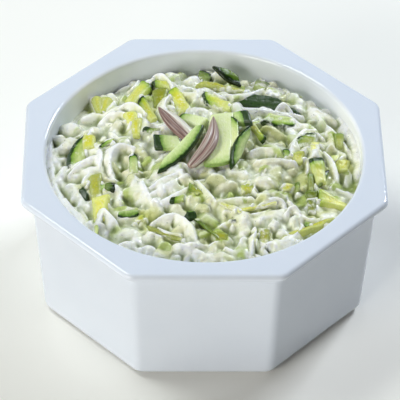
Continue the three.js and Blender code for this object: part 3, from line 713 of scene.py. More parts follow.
# Pieces of cucumber that show, stirred into the dip: the two ends of the skin and the middle
# of the far side, each as x and y in the view and mm over the heap's mean level; how far
# the skin bows out in mm; the far side's width as a share of the skin's; thickness, and the
# nearer side's depth under the skin, in mm; ripeness from green to yellow; how much yoghurt
# clings to the piece; and how far it is soaked and glassy
DIP_CUTS = {
    "heart lobe left": ((90, 99.5, 3.2), (101.5, 96.5, 4), (99, 114, 1.2),
        2.4, 0.3, 4.5, 6, 0.85, 0.01, 0.35),
    "heart lobe right": ((98, 97, 4), (112, 99.5, 3.2), (101, 114.5, 0.8),
        2.4, 0.3, 4.5, 6, 0.95, 0.01, 0.35),
    "back strip left": ((141, 79, 3.5), (151, 84, 3.5), (127, 103, 0.8), 0.8, 0.8, 4, 0.2, 0.85, 0.07, 0.1),
    "block under film": ((151.5, 82, 4), (155, 75.5, 4.5), (171, 85, 3),
        0.8, 0.9, 4, -0.6, 0.8, 0.02, 0.15),
    "olive block": ((151.5, 89, 3.2), (170, 86.5, 3), (159, 107, 0.6), 0.8, 0.55, 4, 5, 0.95, 0, 0.85),
    "tipped back": ((167, 90.5, 3.2), (177, 84.5, 3.8), (185.5, 111, 1.5), 0.8, 1.25, 4, 0.2, 1, 0.11, 0),
    "tipped left": ((137.5, 99, 2.8), (144, 94.5, 3.2), (154, 120, 1.4),
        0.8, 1.2, 4, -0.8, 0.95, -0.05, 0.25),
    "seedy curl": ((122, 113.5, 3.2), (137, 111, 3.2), (132, 122, 2.6), 1.8, 0.7, 3.4, 7, 1, 0.09, 0),
    "seedy curl foot": ((130, 119, 2.8), (142, 117, 3), (136, 136, 1.6), 1.2, 0.6, 3.4, 7, 1, -0.05, 0.2),
    "green bit": ((142, 131, 2.5), (147, 126, 3), (160, 129.5, 1.7), 0.8, 0.5, 3, -0.8, 0.35, 0.08, 0.05),
    "left arc": ((86, 131, 3), (66, 170, 2), (86, 151, 2.2), 5, 0.35, 4, -2, 0.35, 0.1, 0.25),
    "left arc seeds": ((84, 131, 3.6), (83, 149, 3.1), (95, 141, 2.6), 1, 0.7, 3, 8, 1, 0.09, 0.15),
    "dark bit": ((98, 148, 2), (101, 143, 2), (113, 139, 1.4), 0.6, 0.8, 3, 0, 0.35, 0.08, 0),
    "olive strip": ((128.5, 155, 2), (137.5, 153, 2.2), (134, 173, 1),
        1.2, 0.95, 3.4, -0.6, 0.25, 0.05, 0.3),
    "long curl": ((88.5, 177, 2.8), (102, 171, 3), (96, 198, 2), 0.8, 0.8, 3.4, 6, 1, 0.05, 0.6),
    "long curl foot": ((90, 198, 3), (110, 193, 3.2), (99, 222, 1.2), 0.8, 0.55, 3.4, 7, 1, -0.25, 0),
    "green ear": ((114, 180, 2.8), (113, 190, 2.2), (104, 186, 2.2), 2, 0.7, 3.4, -1.3, 0.15, -0.05, 1),
    "green ear foot": ((97, 187, 1.8), (103, 181, 2.2), (104, 188, 1.8), 0.6, 0.8, 3, 0.4, 0.25, 0.03, 0),
    "mottled peel": ((78, 189, 1.9), (86, 201, 1.5), (85, 189, 2.3), 1.6, 0.7, 3.4, -3, 0.1, -0.02, 0.2),
    "front baton": ((117, 217, 1.2), (139.5, 214.5, 1.2), (128, 210, 2.2),
        1.6, 0.8, 3.4, 0.2, 0.12, -0.05, 0.2),
    "yellow sliver": ((134, 218, 0.8), (144, 215.5, 0.8), (140, 221, 0.4), 0.6, 0.8, 2.4, 4, 0.95, 0.23, 0),
    "olive lens": ((92, 220, 2.2), (98, 222, 2.2), (96, 235, 1.2), 0.8, 0.4, 3, 3, 0.5, -0.05, 0),
    "rectangle": ((169.5, 202.5, 2), (170.5, 196, 2.4), (184, 198, 2), 0.3, 1, 3, -1.2, 0.5, -0.02, 0.2),
    "wedge": ((189.5, 181, 3.2), (190, 191, 2), (205, 193.5, 1.6), 0.6, 0.35, 3.5, 1.6, 0.9, -0.15, 0.7),
    "wedge tail": ((190, 191, 1.6), (194, 187, 2), (199, 194, 1.4), 0.6, 0.6, 3, 4, 0.7, 0.02, 0.4),
    "dark peel": ((184, 216, 2), (197, 217, 2), (191, 210.5, 2.6), 1.6, 0.7, 3, -3, 0.1, -0.02, 0),
    "olive wedge": ((191, 217, 1.9), (196, 222, 1.2), (216, 236, 0.9), 0.5, 1.1, 3, 1, 0.85, -0.18, 0.9),
    "claw flesh": ((147, 224, 1.8), (150, 232, 1), (183, 239, 0.8), 0.8, 0.7, 3, 6, 0.9, 0.1, 0.7),
    "back blade": ((212, 65, 9.5), (242, 86, 1.2), (233, 71.5, 6.5), 2.2, 0.35, 2.6, -1.1, 0.1, -0.3, 1),
    "clear slice one": ((257, 77, 1.5), (271, 84, 0.5), (259, 88, 1.5), 1.5, 0.7, 3, -0.35, 0.4, 0.22, 0.7),
    "clear slice two": ((271, 84.5, 1.5), (288, 94, 0), (272, 93, 2), 2.5, 0.6, 3, -0.35, 0.3, 0.32, 0.3),
    "back arch": ((199, 69, 2), (212, 74, 2.5), (203, 80, 1.5), 1.5, 0.8, 3, -0.35, 0.4, 0.1, 0.9),
    "back strip": ((195, 85, 3), (206, 80, 3.8), (246, 90.5, 1.2), 1, 0.3, 3.5, 7, 1, 0.11, 0.5),
    "back block": ((202.5, 88.5, 3.6), (204.5, 101, 2.4), (231, 106, 2), 1, 0.75, 4, -0.5, 0.75, 0.09, 0),
    "back lens": ((235, 101.5, 1.5), (303, 114, 1.2), (266, 95, 2.4), 3, 0.3, 3, -11, 0.35, 0, 0),
    "right baton": ((259, 120, 1), (298, 127, 1), (282, 114.5, 3), 2.2, 0.6, 4.4, -0.6, 0.35, 0.18, 0),
    "tip by garnish": ((264, 141, 1.2), (266.5, 137, 1.4), (252, 124, 2.8),
        0.6, 1.5, 4, -0.6, 0.95, -0.01, 0.05),
    "arc chunk": ((295, 138, 2), (318, 131, 2.8), (309, 145, 1.2), 1.8, 0.7, 3.5, -0.4, 0.75, 0.17, 0.7),
    "arc seeds": ((310, 141, 1.8), (321, 142, 2), (315, 151, 0.8), 0.8, 0.8, 3, 7, 1, 0.19, 0),
    "brown chunk": ((333, 133, 3.3), (344, 134, 4.5), (339, 148, 2.2), 0.8, 0.7, 3, 1.5, 0.7, 0, 0.6),
    "stick foot": ((319, 173, 2), (330, 169, 1.6), (322, 185, 0.5), 0.6, 0.7, 3, -0.3, 0.2, -0.1, 0.9),
    "brown foot": ((305, 191.5, 1.2), (318.5, 190, 1.2), (312, 201.5, 0.2), 0.5, 0.8, 3, 3, 0.7, -0.1, 1),
    "right edge": ((336, 160, 1.2), (352, 159, 1.2), (344, 171, 1.4), 0.8, 0.6, 3, 8, 1, -0.2, 0.4),
    "right edge bit": ((332, 155, 1.8), (340, 154, 2), (335, 162, 0.8), 0.6, 0.7, 3, 5, 0.7, 0.21, 0),
    "green tab": ((282, 150, 1.8), (289, 149, 2.4), (286, 156, 1.2), 0.6, 0.8, 3, 0.3, 0.25, 0.05, 0.1),
    "yellow mid right": ((291, 154, 2), (306, 149.5, 2.5), (298, 165, 0.8), 0.8, 0.6, 3.5, 5, 1, 0.05, 0.3),
    "dark ended stick": ((309, 157, 2.5), (325, 156.5, 3.5), (321.5, 184, 1),
        0.8, 0.65, 4, -1.8, 0.75, -0.05, 0.15),
    "olive stick": ((295, 183, 0.8), (300, 181, 1.2), (298, 192, 0.4), 0.5, 0.9, 3, 1.5, 0.5, 0.05, 0.7),
    "olive stick right": ((308, 174, 2), (314, 173, 2), (311, 192, 0.2), 0.5, 0.9, 3, 1.5, 0.65, 0.02, 0.8),
    "cube": ((240, 185, 1.8), (253, 184, 2), (248, 192.5, 0.8), 0.5, 0.9, 3.5, 4, 1, 0.09, 0.3),
    "seedy right": ((282, 193, 1), (287, 181, 2.4), (293, 187, 1.8), 1, 0.5, 3.5, 9, 1, 0.17, 0),
    "ribbon left": ((218.5, 203, 1.8), (221.5, 200, 2), (242, 210.5, 1.6),
        0.3, 1.1, 2.2, 6, 0.9, 0.31, 0.1),
    "ribbon": ((239, 212.5, 1.4), (237, 208, 1.8), (277, 202.5, 2.2), 0.5, 0.6, 2.4, 6, 1, 0.17, 0),
    "notch": ((231, 223, 0), (237, 222.5, 0), (234, 219, 0.8), 0.6, 0.8, 2.6, -1, 0.1, 0.15, 0.6),
    "low olive": ((214, 233, 0.8), (228, 233, 0.8), (222, 240, -0.2), 1.2, 0.7, 3, 4, 1, -0.08, 0.6),
    "crest seeds": ((258, 229, 2), (272, 228, 2.2), (263, 247, 0.2), 0.8, 0.5, 3, 5, 0.95, 0.27, 0.55),
    "low green bit": ((304, 226, 0.8), (313, 228, 0.8), (308, 221, 1.6), 0.6, 0.8, 3, 0.4, 0.3, 0.05, 0.3),
    "long strip": ((277, 238, 1), (337, 216, 2.2), (311, 227, 2.4), 3.2, 0.5, 4, 6, 1, -0.13, 0.35),
    "triangle": ((320, 187, 3), (320, 205, 1.4), (350, 207, 1.6), 0.8, 0.3, 4, 2.4, 0.95, -0.17, 0.25),
    "pale cube": ((307, 200, 1.8), (316, 199, 2.2), (312, 213, 0.8), 0.5, 0.9, 3, 4, 0.7, 0.17, 0.9),
}


def cut_plans(cuts):
    """Corners of each piece seen from above, anticlockwise, and the plane z = p x + q y + r
    of its upper face, no steeper than 0.8."""
    a, b, c = cuts[:, 0:3], cuts[:, 3:6], cuts[:, 6:9]
    half = (b - a) * cuts[:, 10:11] / 2
    corners = np.stack([a, b, c + half, c - half], axis=1)[..., :2]
    ahead = np.roll(corners, -1, axis=1)
    area = np.sum(corners[..., 0] * ahead[..., 1] - corners[..., 1] * ahead[..., 0], axis=1)
    corners[area < 0] = corners[area < 0][:, ::-1]
    normal = np.cross(b - a, c - a)
    slope = -normal[:, :2] / normal[:, 2:]
    slope /= np.maximum(1, np.linalg.norm(slope, axis=1, keepdims=True) / 0.8)
    middle = (a + b + 2 * c) / 4
    offset = middle[:, 2] + RIM_TOP - np.sum(slope * middle[:, :2], axis=1)
    return corners, np.concatenate([slope, offset[:, None]], axis=1)


def bed_cuts(x, y, height, cuts, depth):
    """Lowers or raises the height to a bed `depth` mm under each piece's upper face, fading
    out over 2.4 mm across its outline."""
    for corners, (p, q, r) in zip(*cut_plans(cuts)):
        ahead = np.roll(corners, -1, axis=0) - corners
        out = np.stack([ahead[:, 1], -ahead[:, 0]], axis=-1) / np.linalg.norm(ahead, axis=1, keepdims=True)
        low = corners.min(axis=0) - 3
        high = corners.max(axis=0) + 3
        near = (x > low[0]) & (x < high[0]) & (y > low[1]) & (y < high[1])
        spot = np.stack([x[near], y[near]], axis=-1)
        beyond = np.max(np.sum((spot[:, None] - corners) * out, axis=-1), axis=1)
        share = smooth_step((1.2 - beyond) / 2.4)
        bed = p * spot[:, 0] + q * spot[:, 1] + r - depth
        height[near] += (bed - height[near]) * share
    return height


def cut_lips(cuts, each):
    """Rows like MEASURED_FOLDS for yoghurt that laps over sides of the pieces: `each` lips a
    piece, along random stretches of its sides."""
    draw = np.random.default_rng(43)
    corners, plane = cut_plans(cuts)
    rows = []
    for ring, (p, q, r) in zip(corners, plane):
        for start in draw.permutation(4)[:each]:
            a, b = ring[start], ring[(start + 1) % 4]
            s, e = np.sort(draw.uniform(0, 1, 2))
            inset = (ring.mean(axis=0) - (a + b) / 2)
            inset /= np.linalg.norm(inset)
            half = draw.uniform(0.8, 1.5)
            inside = draw.uniform(-0.5, 0.35) * half
            row = []
            for share, nudge in ((s, -0.6), ((s + e) / 2, 0.2), (e, -0.6)):
                x, y = a + (b - a) * share + inset * (inside + nudge)
                row += [x, y, p * x + q * y + r - RIM_TOP + draw.uniform(-0.5, 0.7)]
            rows.append([*row, half])
    return rows


plain_x, plain_y = disc_grid(GRID_POINTS, HEAP_REACH)
heap_x = plain_x + 0.9 * cloud(plain_x, plain_y, 8, 21) + 0.4 * cloud(plain_x, plain_y, 3.3, 22)
heap_y = plain_y + 0.9 * cloud(plain_x, plain_y, 8, 23) + 0.4 * cloud(plain_x, plain_y, 3.3, 24)
pieces_under = np.concatenate([buried_pieces(), clear_pieces()])
buried, owner = lay_buried(heap_x, heap_y, pieces_under)
mean_level = heap_level(plain_x, plain_y)
buried = np.maximum(buried, mean_level - 4.2)

pool = blur(np.maximum(buried, mean_level - 2.6), 30) - 1.0
pool += 1.3 * cloud(plain_x, plain_y, 11, 3) + 0.7 * cloud(plain_x, plain_y, 5, 4)
film = 0.4 + 0.5 * cloud(plain_x, plain_y, 6, 7) + 0.3 * cloud(plain_x, plain_y, 2.6, 8)
bare = spots(heap_x, heap_y, laid_spots(BARE_CREAM))
hollow = spots(heap_x, heap_y, laid_spots(HOLLOWS))
film += 0.5 * bare - 0.35 * hollow + 0.3 * cloud(plain_x, plain_y, 15, 83)
film = np.clip(film, 0.16 + 0.1 * cloud(heap_x, heap_y, 1.7, 12), None)
surface = smooth_max(buried + film, pool, 0.9)
loose = lay_folds(heap_x, heap_y, loose_folds(LOOSE_FOLDS))
surface = smooth_max(surface, loose, 0.8)
surface = smooth_max(lay_shreds(heap_x, heap_y, blur(surface, 6), SHREDS), surface, 0.3)
creamy = smooth_step((cloud(plain_x, plain_y, 13, 51) + 0.35 * cloud(plain_x, plain_y, 5, 52) - 0.12) / 0.35)
creamy = np.maximum(creamy, smooth_step(1.8 * bare)) * (1 - hollow)
rolling = blur(surface, 16) + 0.5 + 1.0 * cloud(heap_x, heap_y, 6, 53)
surface += (rolling - surface) * (0.85 * creamy)
surface += 0.7 * bare - 1.8 * hollow
dip_cuts = laid(DIP_CUTS, 3, on_heap)
surface = bed_cuts(plain_x, plain_y, surface, dip_cuts, BED_DEPTH)
folds = np.concatenate([laid(FOLDS, 3, on_heap), list(MEASURED_FOLDS.values())])
placed = lay_folds(0.6 * plain_x + 0.4 * heap_x, 0.6 * plain_y + 0.4 * heap_y, folds)
# only the pieces that yoghurt clings to by more than 0 get lips
lips = lay_folds(heap_x, heap_y, cut_lips(dip_cuts[dip_cuts[:, 14] > 0], LIPS_EACH))
surface = smooth_max(smooth_max(surface, placed, 0.8), lips, 0.4)
surface -= 2.2 * spots(heap_x, heap_y, laid_spots(PITS))
surface += 0.12 * cloud(heap_x, heap_y, 1.7, 9) - 0.3 * np.abs(cloud(heap_x, heap_y, 3.6, 10))

# colour: the coat hides what is under it as it thickens. Broad low parts get painted
# shade, the gaps thin liquid and painted shade, and the crests a painted highlight
coat = 1 - np.exp(-np.clip(surface - buried, 0, None) / 0.5)
coat = np.maximum(coat * (1 - 0.35 * hollow), 0.9 * creamy)
# narrow gaps: thin liquid and painted shade
gap_whey_and_shade = np.clip((blur(surface, 8) - surface - 0.1) / 1.0, 0, 1)
# painted shade where the heap lies lower than its surroundings
broad_painted_shade = np.clip((blur(surface, 60) - surface + 0.1) / 2.0, 0, 1)
tints = np.array([paint(tint)[:3] for tint in BURIED_TINTS])
under = tints[(np.arange(len(pieces_under)) * 7 // 3 + 2) % len(BURIED_TINTS)][owner]
skin_of_dip = under + (np.array(paint(CREAM)[:3]) - under) * coat[..., None]
skin_of_dip *= 1 + (np.array(paint(SHADED_CREAM)[:3]) / paint(CREAM)[:3] - 1) * broad_painted_shade[..., None]
ripe_cuts = dip_cuts[dip_cuts[:, 13] > 0.6]
middles = (ripe_cuts[:, 0:2] + ripe_cuts[:, 3:5] + 2 * ripe_cuts[:, 6:8]) / 4
juicy = spots(heap_x, heap_y, np.c_[middles, np.full(len(middles), 7.5)])
juicy *= 0.6 + 0.4 * cloud(heap_x, heap_y, 4, 91)
skin_of_dip *= 1 + (np.array(paint(JUICY_CREAM)[:3]) / paint(CREAM)[:3] - 1) * juicy[..., None]
watery = smooth_step((cloud(heap_x, heap_y, 5, 81) + 0.5 * cloud(heap_x, heap_y, 2, 82) - 0.25) / 0.5)
skin_of_dip += (np.array(paint(WATERY_CREAM)[:3]) - skin_of_dip) * (0.48 * watery * coat)[..., None]
# painted highlight: convex crests are whitened, as thicker cream and as the light they catch
crest = np.clip((surface - blur(surface, 5)) / 0.35, 0, 1)
skin_of_dip += (np.array(paint(CREST_HIGHLIGHT_CREAM)[:3]) - skin_of_dip) * (0.9 * crest * coat)[..., None]
skin_of_dip += (np.array(paint(WHEY_AND_SHADE)[:3]) - skin_of_dip) * (0.8 * gap_whey_and_shade[..., None])
# painted shade in the deepest gaps
deep_painted_shade = np.clip((blur(surface, 8) - surface - 0.9) / 0.9, 0, 1)
skin_of_dip += (np.array(paint(DEEP_GAP_SHADE)[:3]) - skin_of_dip) * (0.85 * deep_painted_shade[..., None])


def dip_faces(points, rows):
    """Faces of the heap's grid, of the wall of `rows` rings under its edge, and of the floor
    that closes it. Returns them with the order of the edge's points."""
    index = np.arange(points * points).reshape(points, points)
    top = np.stack([index[:-1, :-1], index[:-1, 1:], index[1:, 1:], index[1:, :-1]], axis=-1)
    edge = np.concatenate([index[0, :-1], index[:-1, -1], index[-1, :0:-1], index[:0:-1, 0]])
    below = points * points + np.arange(rows * len(edge)).reshape(rows, len(edge))
    ring = np.concatenate([edge[None], below])
    after = np.roll(ring, -1, axis=1)
    wall = np.stack([ring[:-1], ring[1:], after[1:], after[:-1]], axis=-1)
    middle = np.full(len(edge), points * points + rows * len(edge))
    floor = np.stack([middle, after[-1], ring[-1]], axis=-1)
    return top.reshape(-1, 4).tolist() + wall.reshape(-1, 4).tolist() + floor.tolist(), edge


def dip_points(edge):
    """The heap's grid, then rings down the wall and round the hollow's floor, and the middle
    of the floor. The rings keep the headings of the grid's edge."""
    top = np.stack([plain_x, plain_y, surface], axis=-1).reshape(-1, 3)
    heading = top[edge, :2] / np.linalg.norm(top[edge, :2], axis=1, keepdims=True)
    profile = [(78.0, RIM_TOP - 20), *arc(75.2 - HOLLOW_ROUND, FLOOR_LEVEL + 0.3 + HOLLOW_ROUND,
                                          HOLLOW_ROUND, 0, -90, 3)]
    rings = [np.c_[radius * heading, np.full(len(heading), height)] for radius, height in profile]
    return np.concatenate([top, *rings, [[0, 0, FLOOR_LEVEL + 0.3]]]), len(profile)


def yoghurt_material():
    """Strained yoghurt, stirred: a dense white milk gel of IOR 1.35 in which light spreads a
    millimetre or two. Whey makes it wet and glossy, and fine curds grain it."""
    material = blank_material("yoghurt_stirred_wet")
    place = add(material, "ShaderNodeTexCoord")
    # the skin colour carries painted shade in the low parts and gaps, and a painted highlight on the crests
    own = add(material, "ShaderNodeAttribute", {"attribute_name": "skin"})
    curd = add(material, "ShaderNodeTexNoise", inputs={
        "Vector": place.outputs["Object"], "Scale": 1 / (1.4 * MM), "Detail": 4.0, "Roughness": 0.6})
    bump = add(material, "ShaderNodeBump", inputs={
        "Height": curd.outputs["Fac"], "Strength": 0.7, "Distance": 0.0009})
    bits = add(material, "ShaderNodeTexNoise", inputs={
        "Vector": place.outputs["Object"], "Scale": 1 / (1.1 * MM), "Detail": 1.0})
    speck = add(material, "ShaderNodeMapRange", {"interpolation_type": "SMOOTHSTEP"}, {
        "Value": bits.outputs["Fac"], "From Min": 0.7, "From Max": 0.78, "To Max": 0.6})
    tone = add(material, "ShaderNodeMix", {"data_type": "RGBA"}, {
        0: speck.outputs[0], 6: own.outputs["Color"], 7: paint(SPECK)})
    wet = add(material, "ShaderNodeMapRange", inputs={
        "Value": curd.outputs["Fac"], "From Min": 0.35, "From Max": 0.7, "To Min": 0.12, "To Max": 0.28})
    body = add(material, "ShaderNodeBsdfPrincipled", inputs={
        "Base Color": tone.outputs[2], "Roughness": wet.outputs[0], "IOR": 1.38,
        "Subsurface Weight": 0.5, "Subsurface Radius": (1.8, 1.7, 1.2), "Subsurface Scale": 0.001,
        "Coat Weight": 0.45, "Coat Roughness": 0.1, "Coat IOR": 1.45,
        "Normal": bump.outputs["Normal"]})
    add(material, "ShaderNodeOutputMaterial", inputs={"Surface": body.outputs[0]})
    return material


wall_rows = 5
faces, edge = dip_faces(GRID_POINTS, wall_rows)
points, rows = dip_points(edge)
tone = np.concatenate([skin_of_dip.reshape(-1, 3),
                       np.tile(paint(CREAM)[:3], (wall_rows * len(edge) + 1, 1))])
dip = mesh_piece("tzatziki", points, faces, yoghurt_material(), colours={"skin": tone})
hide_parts("dip")

# ---------------------------------------------------------------------------- cut cucumber
# Raw cucumber cut into sticks and chips: a slice across the fruit, so the skin
# runs along one bowed side or sits at one end, with green flesh under it and
# yellow, seedy flesh at the far end.
OUTLINE_SHARES = (1 - np.cos(np.pi * np.arange(12) / 12)) / 2  # along each side, close at corners
SEEDS = "#f3f1c0"
SOAKED = "#8f9a6c"
LOW_END_CLING = 0.14
LOOSE_ROUNDNESS = 0.32
STIRRED_ROUNDNESS = 0.4
STIRRED_WOBBLE = 0.22
# from the skin inwards: skin, the rind under it, flesh and heart
FRESH_YOUNG = ("#2c4420", "#7fa64c", "#c6dc94", "#e8f3c2")
FRESH_RIPE = ("#3d5424", "#93b02a", "#c5d234", "#dedd48")
STIRRED_YOUNG = ("#2c4420", "#76a344", "#b6cf86", "#d4e3ac")
STIRRED_RIPE = ("#3d5424", "#a1bb2c", "#cdd83a", "#e3e052")


def cut_shells(cuts, roundness, wobble):
    """Closed shells of pieces cut from a cucumber, with each point's depth under the skin.
    A piece is a slab whose upper face passes through the ends of the skin and the middle of
    its far side. Its plan is a unit square blended from the skin, a parabola that bows out,
    to the far side, a share as wide. Each ring is the square's border, drawn in towards its
    middle on both faces and by a quarter round of `roundness` times the thickness at their
    edges; it is smoothed by 1:2:1 and pushed out and in by up to a quarter millimetre. The
    whole piece is bent by `wobble` mm with sines of 4 to 9 mm."""
    a, b, c = cuts[:, 0:3], cuts[:, 3:6], cuts[:, 6:9]
    bulge, far, thick, from_skin = (cuts[:, k:k + 1] for k in (9, 10, 11, 12))
    skin = b - a
    width = np.linalg.norm(skin, axis=1, keepdims=True)
    along = skin / width
    middle = np.sum((c - a) * along, axis=1, keepdims=True)
    across = (c - a) - along * middle
    depth = np.linalg.norm(across, axis=1, keepdims=True)
    inward = across / depth
    normal = np.cross(along, inward)
    upper = np.where(normal[:, 2:] > 0, 1.0, -1.0)

    left = middle - far * width / 2
    right = middle + far * width / 2
    mean_width = (width + right - left) / 2
    mean_depth = depth + 2 / 3 * bulge
    edge = np.minimum(roundness * thick, 0.3 * np.minimum(mean_width, mean_depth))
    angles = np.radians([-90, -65, -35, 0])
    inset = edge * (1 - np.cos(angles))
    level = edge * (1 + np.sin(angles)) - thick
    face = np.ones((1, 4))
    inset = np.concatenate([edge * face, inset, inset[:, ::-1], edge * face], axis=1)
    level = np.concatenate([-thick * face, level, -thick - level[:, ::-1], 0 * thick * face], axis=1)
    drawn_in = np.array([0.25, 0.5, 0.75, 0.92, *[1] * 8, 0.92, 0.75, 0.5, 0.25])
    s = OUTLINE_SHARES
    u = np.concatenate([s, np.ones(12), 1 - s, np.zeros(12)]) - 0.5
    v = np.concatenate([np.zeros(12), s, np.ones(12), 1 - s]) - 0.5
    u = 0.5 + u * (drawn_in * (1 - 2 * inset / mean_width))[..., None]
    v = 0.5 + v * (drawn_in * (1 - 2 * inset / mean_depth))[..., None]
    width, depth, bulge, left, right = (values[..., None] for values in (width, depth, bulge, left, right))
    skin_x = width * u
    skin_y = -4 * bulge * u * (1 - u)
    far_x = left + (right - left) * u
    flat = np.stack([skin_x + (far_x - skin_x) * v, skin_y + (depth - skin_y) * v], axis=-1)
    for _ in range(5):
        flat = 0.5 * flat + 0.25 * (np.roll(flat, 1, axis=2) + np.roll(flat, -1, axis=2))
    draw = np.random.default_rng(23)
    wave = draw.uniform(0, 2 * np.pi, (len(cuts), 2, 1))
    theta = np.linspace(0, 2 * np.pi, len(v[0, 0]), endpoint=False)
    uneven = 0.16 * np.sin(3 * theta + wave[:, :1]) + 0.1 * np.sin(5 * theta + wave[:, 1:])
    from_middle = flat - flat.mean(axis=2, keepdims=True)
    flat = flat + from_middle / (np.linalg.norm(from_middle, axis=-1, keepdims=True) + 1) * uneven[..., None]
    height = np.where(upper[:, None] > 0, level[..., None], level[..., None] + thick[:, None])

    place = (a[:, None, None] + flat[..., :1] * along[:, None, None] + flat[..., 1:] * inward[:, None, None]
             + height[..., None] * normal[:, None, None])
    phase = draw.uniform(0, 2 * np.pi, (3, 3))
    for size, turn in zip((9.0, 6.3, 4.1), phase):
        place = place + wobble * size / 9 * np.sin(2 * np.pi * np.roll(place, 1, axis=-1) / size + turn)
    place[..., 2] += RIM_TOP
    share = np.clip(flat[..., 0] / width, 0, 1)
    under_skin = flat[..., 1] + 4 * bulge * share * (1 - share) + from_skin[..., None]
    return place, under_skin[..., None]


def cucumber_material(name, young, ripe):
    """Raw cucumber, cut with a knife: thin waxy skin, then flesh that pales and yellows
    towards the seeds, streaked by its fibres. Its cut cells are wet, so it is glossy at IOR
    1.38 and lets light in for a millimetre or two. `young` and `ripe` are its colours from
    the skin inwards, mixed by the piece's own ripeness, and pale seeds show faintly in a ripe
    core. In patches the flesh turns glassy and darker by the piece's own share of soak, and
    yoghurt clings where a noise and the piece's own share add up to enough."""
    material = blank_material(name)
    place = add(material, "ShaderNodeTexCoord")
    depth = add(material, "ShaderNodeAttribute", {"attribute_name": "under_skin"})
    ripeness = add(material, "ShaderNodeAttribute", {"attribute_name": "ripeness"})
    clinging = add(material, "ShaderNodeAttribute", {"attribute_name": "clinging"})
    wander = add(material, "ShaderNodeTexNoise", inputs={
        "Vector": place.outputs["Object"], "Scale": 1 / (2.5 * MM), "Detail": 2.0})
    uneven = add(material, "ShaderNodeMath", {"operation": "MULTIPLY_ADD"}, {
        0: wander.outputs["Fac"], 1: 1.6, 2: -0.8})
    level = add(material, "ShaderNodeMath", {"operation": "ADD"}, {
        0: depth.outputs["Fac"], 1: uneven.outputs[0]})
    share = add(material, "ShaderNodeMath", {"operation": "DIVIDE"}, {0: level.outputs[0], 1: 12.0})
    ramps = []
    for skin, rind, flesh, heart in (young, ripe):
        ramp = add(material, "ShaderNodeValToRGB", inputs={"Fac": share.outputs[0]})
        for spot, colour in ((0.09, skin), (0.14, rind), (0.3, flesh), (0.6, heart)):
            ramp.color_ramp.elements.new(spot).color = paint(colour)
        ramp.color_ramp.elements[0].color = paint(skin)
        ramp.color_ramp.elements[-1].color = paint(heart)
        ramps.append(ramp)
    flesh = add(material, "ShaderNodeMix", {"data_type": "RGBA"}, {
        0: ripeness.outputs["Fac"], 6: ramps[0].outputs["Color"], 7: ramps[1].outputs["Color"]})
    drawn = add(material, "ShaderNodeMapping", inputs={
        "Vector": place.outputs["Object"], "Scale": (1.0, 0.4, 1.0)})
    fibre = add(material, "ShaderNodeTexNoise", inputs={
        "Vector": drawn.outputs[0], "Scale": 1 / (1.0 * MM), "Detail": 4.0, "Roughness": 0.6})
    grain = add(material, "ShaderNodeMix", {"data_type": "RGBA", "blend_type": "OVERLAY"}, {
        0: 0.55, 6: flesh.outputs[2], 7: fibre.outputs["Fac"]})
    seed = add(material, "ShaderNodeTexVoronoi", inputs={
        "Vector": place.outputs["Object"], "Scale": 1 / (1.5 * MM)})
    core = add(material, "ShaderNodeMapRange", {"interpolation_type": "SMOOTHSTEP"}, {
        "Value": share.outputs[0], "From Min": 0.4, "From Max": 0.6, "To Max": 0.5})
    ripe_core = add(material, "ShaderNodeMath", {"operation": "MULTIPLY"}, {
        0: core.outputs[0], 1: ripeness.outputs["Fac"]})
    seeds = add(material, "ShaderNodeMapRange", {"interpolation_type": "SMOOTHSTEP"}, {
        "Value": seed.outputs["Distance"], "From Min": 0.42, "From Max": 0.2, "To Max": ripe_core.outputs[0]})
    seedy = add(material, "ShaderNodeMix", {"data_type": "RGBA"}, {
        0: seeds.outputs[0], 6: grain.outputs[2], 7: paint(SEEDS)})
    soaked = add(material, "ShaderNodeAttribute", {"attribute_name": "soaked"})
    patchy = add(material, "ShaderNodeMapRange", {"interpolation_type": "SMOOTHSTEP"}, {
        "Value": wander.outputs["Fac"], "From Min": 0.15, "From Max": 0.42, "To Max": soaked.outputs["Fac"]})
    glassy = add(material, "ShaderNodeMix", {"data_type": "RGBA", "blend_type": "MULTIPLY"}, {
        0: patchy.outputs[0], 6: seedy.outputs[2], 7: paint(SOAKED)})
    cling = add(material, "ShaderNodeTexNoise", inputs={
        "Vector": place.outputs["Object"], "Scale": 1 / (5.0 * MM), "Detail": 4.0, "Roughness": 0.6})
    level = add(material, "ShaderNodeMath", {"operation": "ADD"}, {
        0: cling.outputs["Fac"], 1: clinging.outputs["Fac"]})
    coated = add(material, "ShaderNodeMapRange", {"interpolation_type": "SMOOTHSTEP"}, {
        "Value": level.outputs[0], "From Min": 0.66, "From Max": 0.9})
    colour = add(material, "ShaderNodeMix", {"data_type": "RGBA"}, {
        0: coated.outputs[0], 6: glassy.outputs[2], 7: paint(CREAM)})
    standing = add(material, "ShaderNodeMath", {"operation": "ADD"}, {
        0: seeds.outputs[0], 1: fibre.outputs["Fac"]})
    relief = add(material, "ShaderNodeMath", {"operation": "MULTIPLY_ADD"}, {
        0: coated.outputs[0], 1: 1.2, 2: standing.outputs[0]})
    bump = add(material, "ShaderNodeBump", inputs={
        "Height": relief.outputs[0], "Strength": 0.5, "Distance": 0.0006})
    body = add(material, "ShaderNodeBsdfPrincipled", inputs={
        "Base Color": colour.outputs[2], "Roughness": 0.24, "IOR": 1.38,
        "Subsurface Weight": 0.15, "Subsurface Radius": (1.2, 1.4, 0.5), "Subsurface Scale": 0.001,
        "Coat Weight": 0.2, "Coat Roughness": 0.15, "Coat IOR": 1.45,
        "Normal": bump.outputs["Normal"]})
    add(material, "ShaderNodeOutputMaterial", inputs={"Surface": body.outputs[0]})
    return material


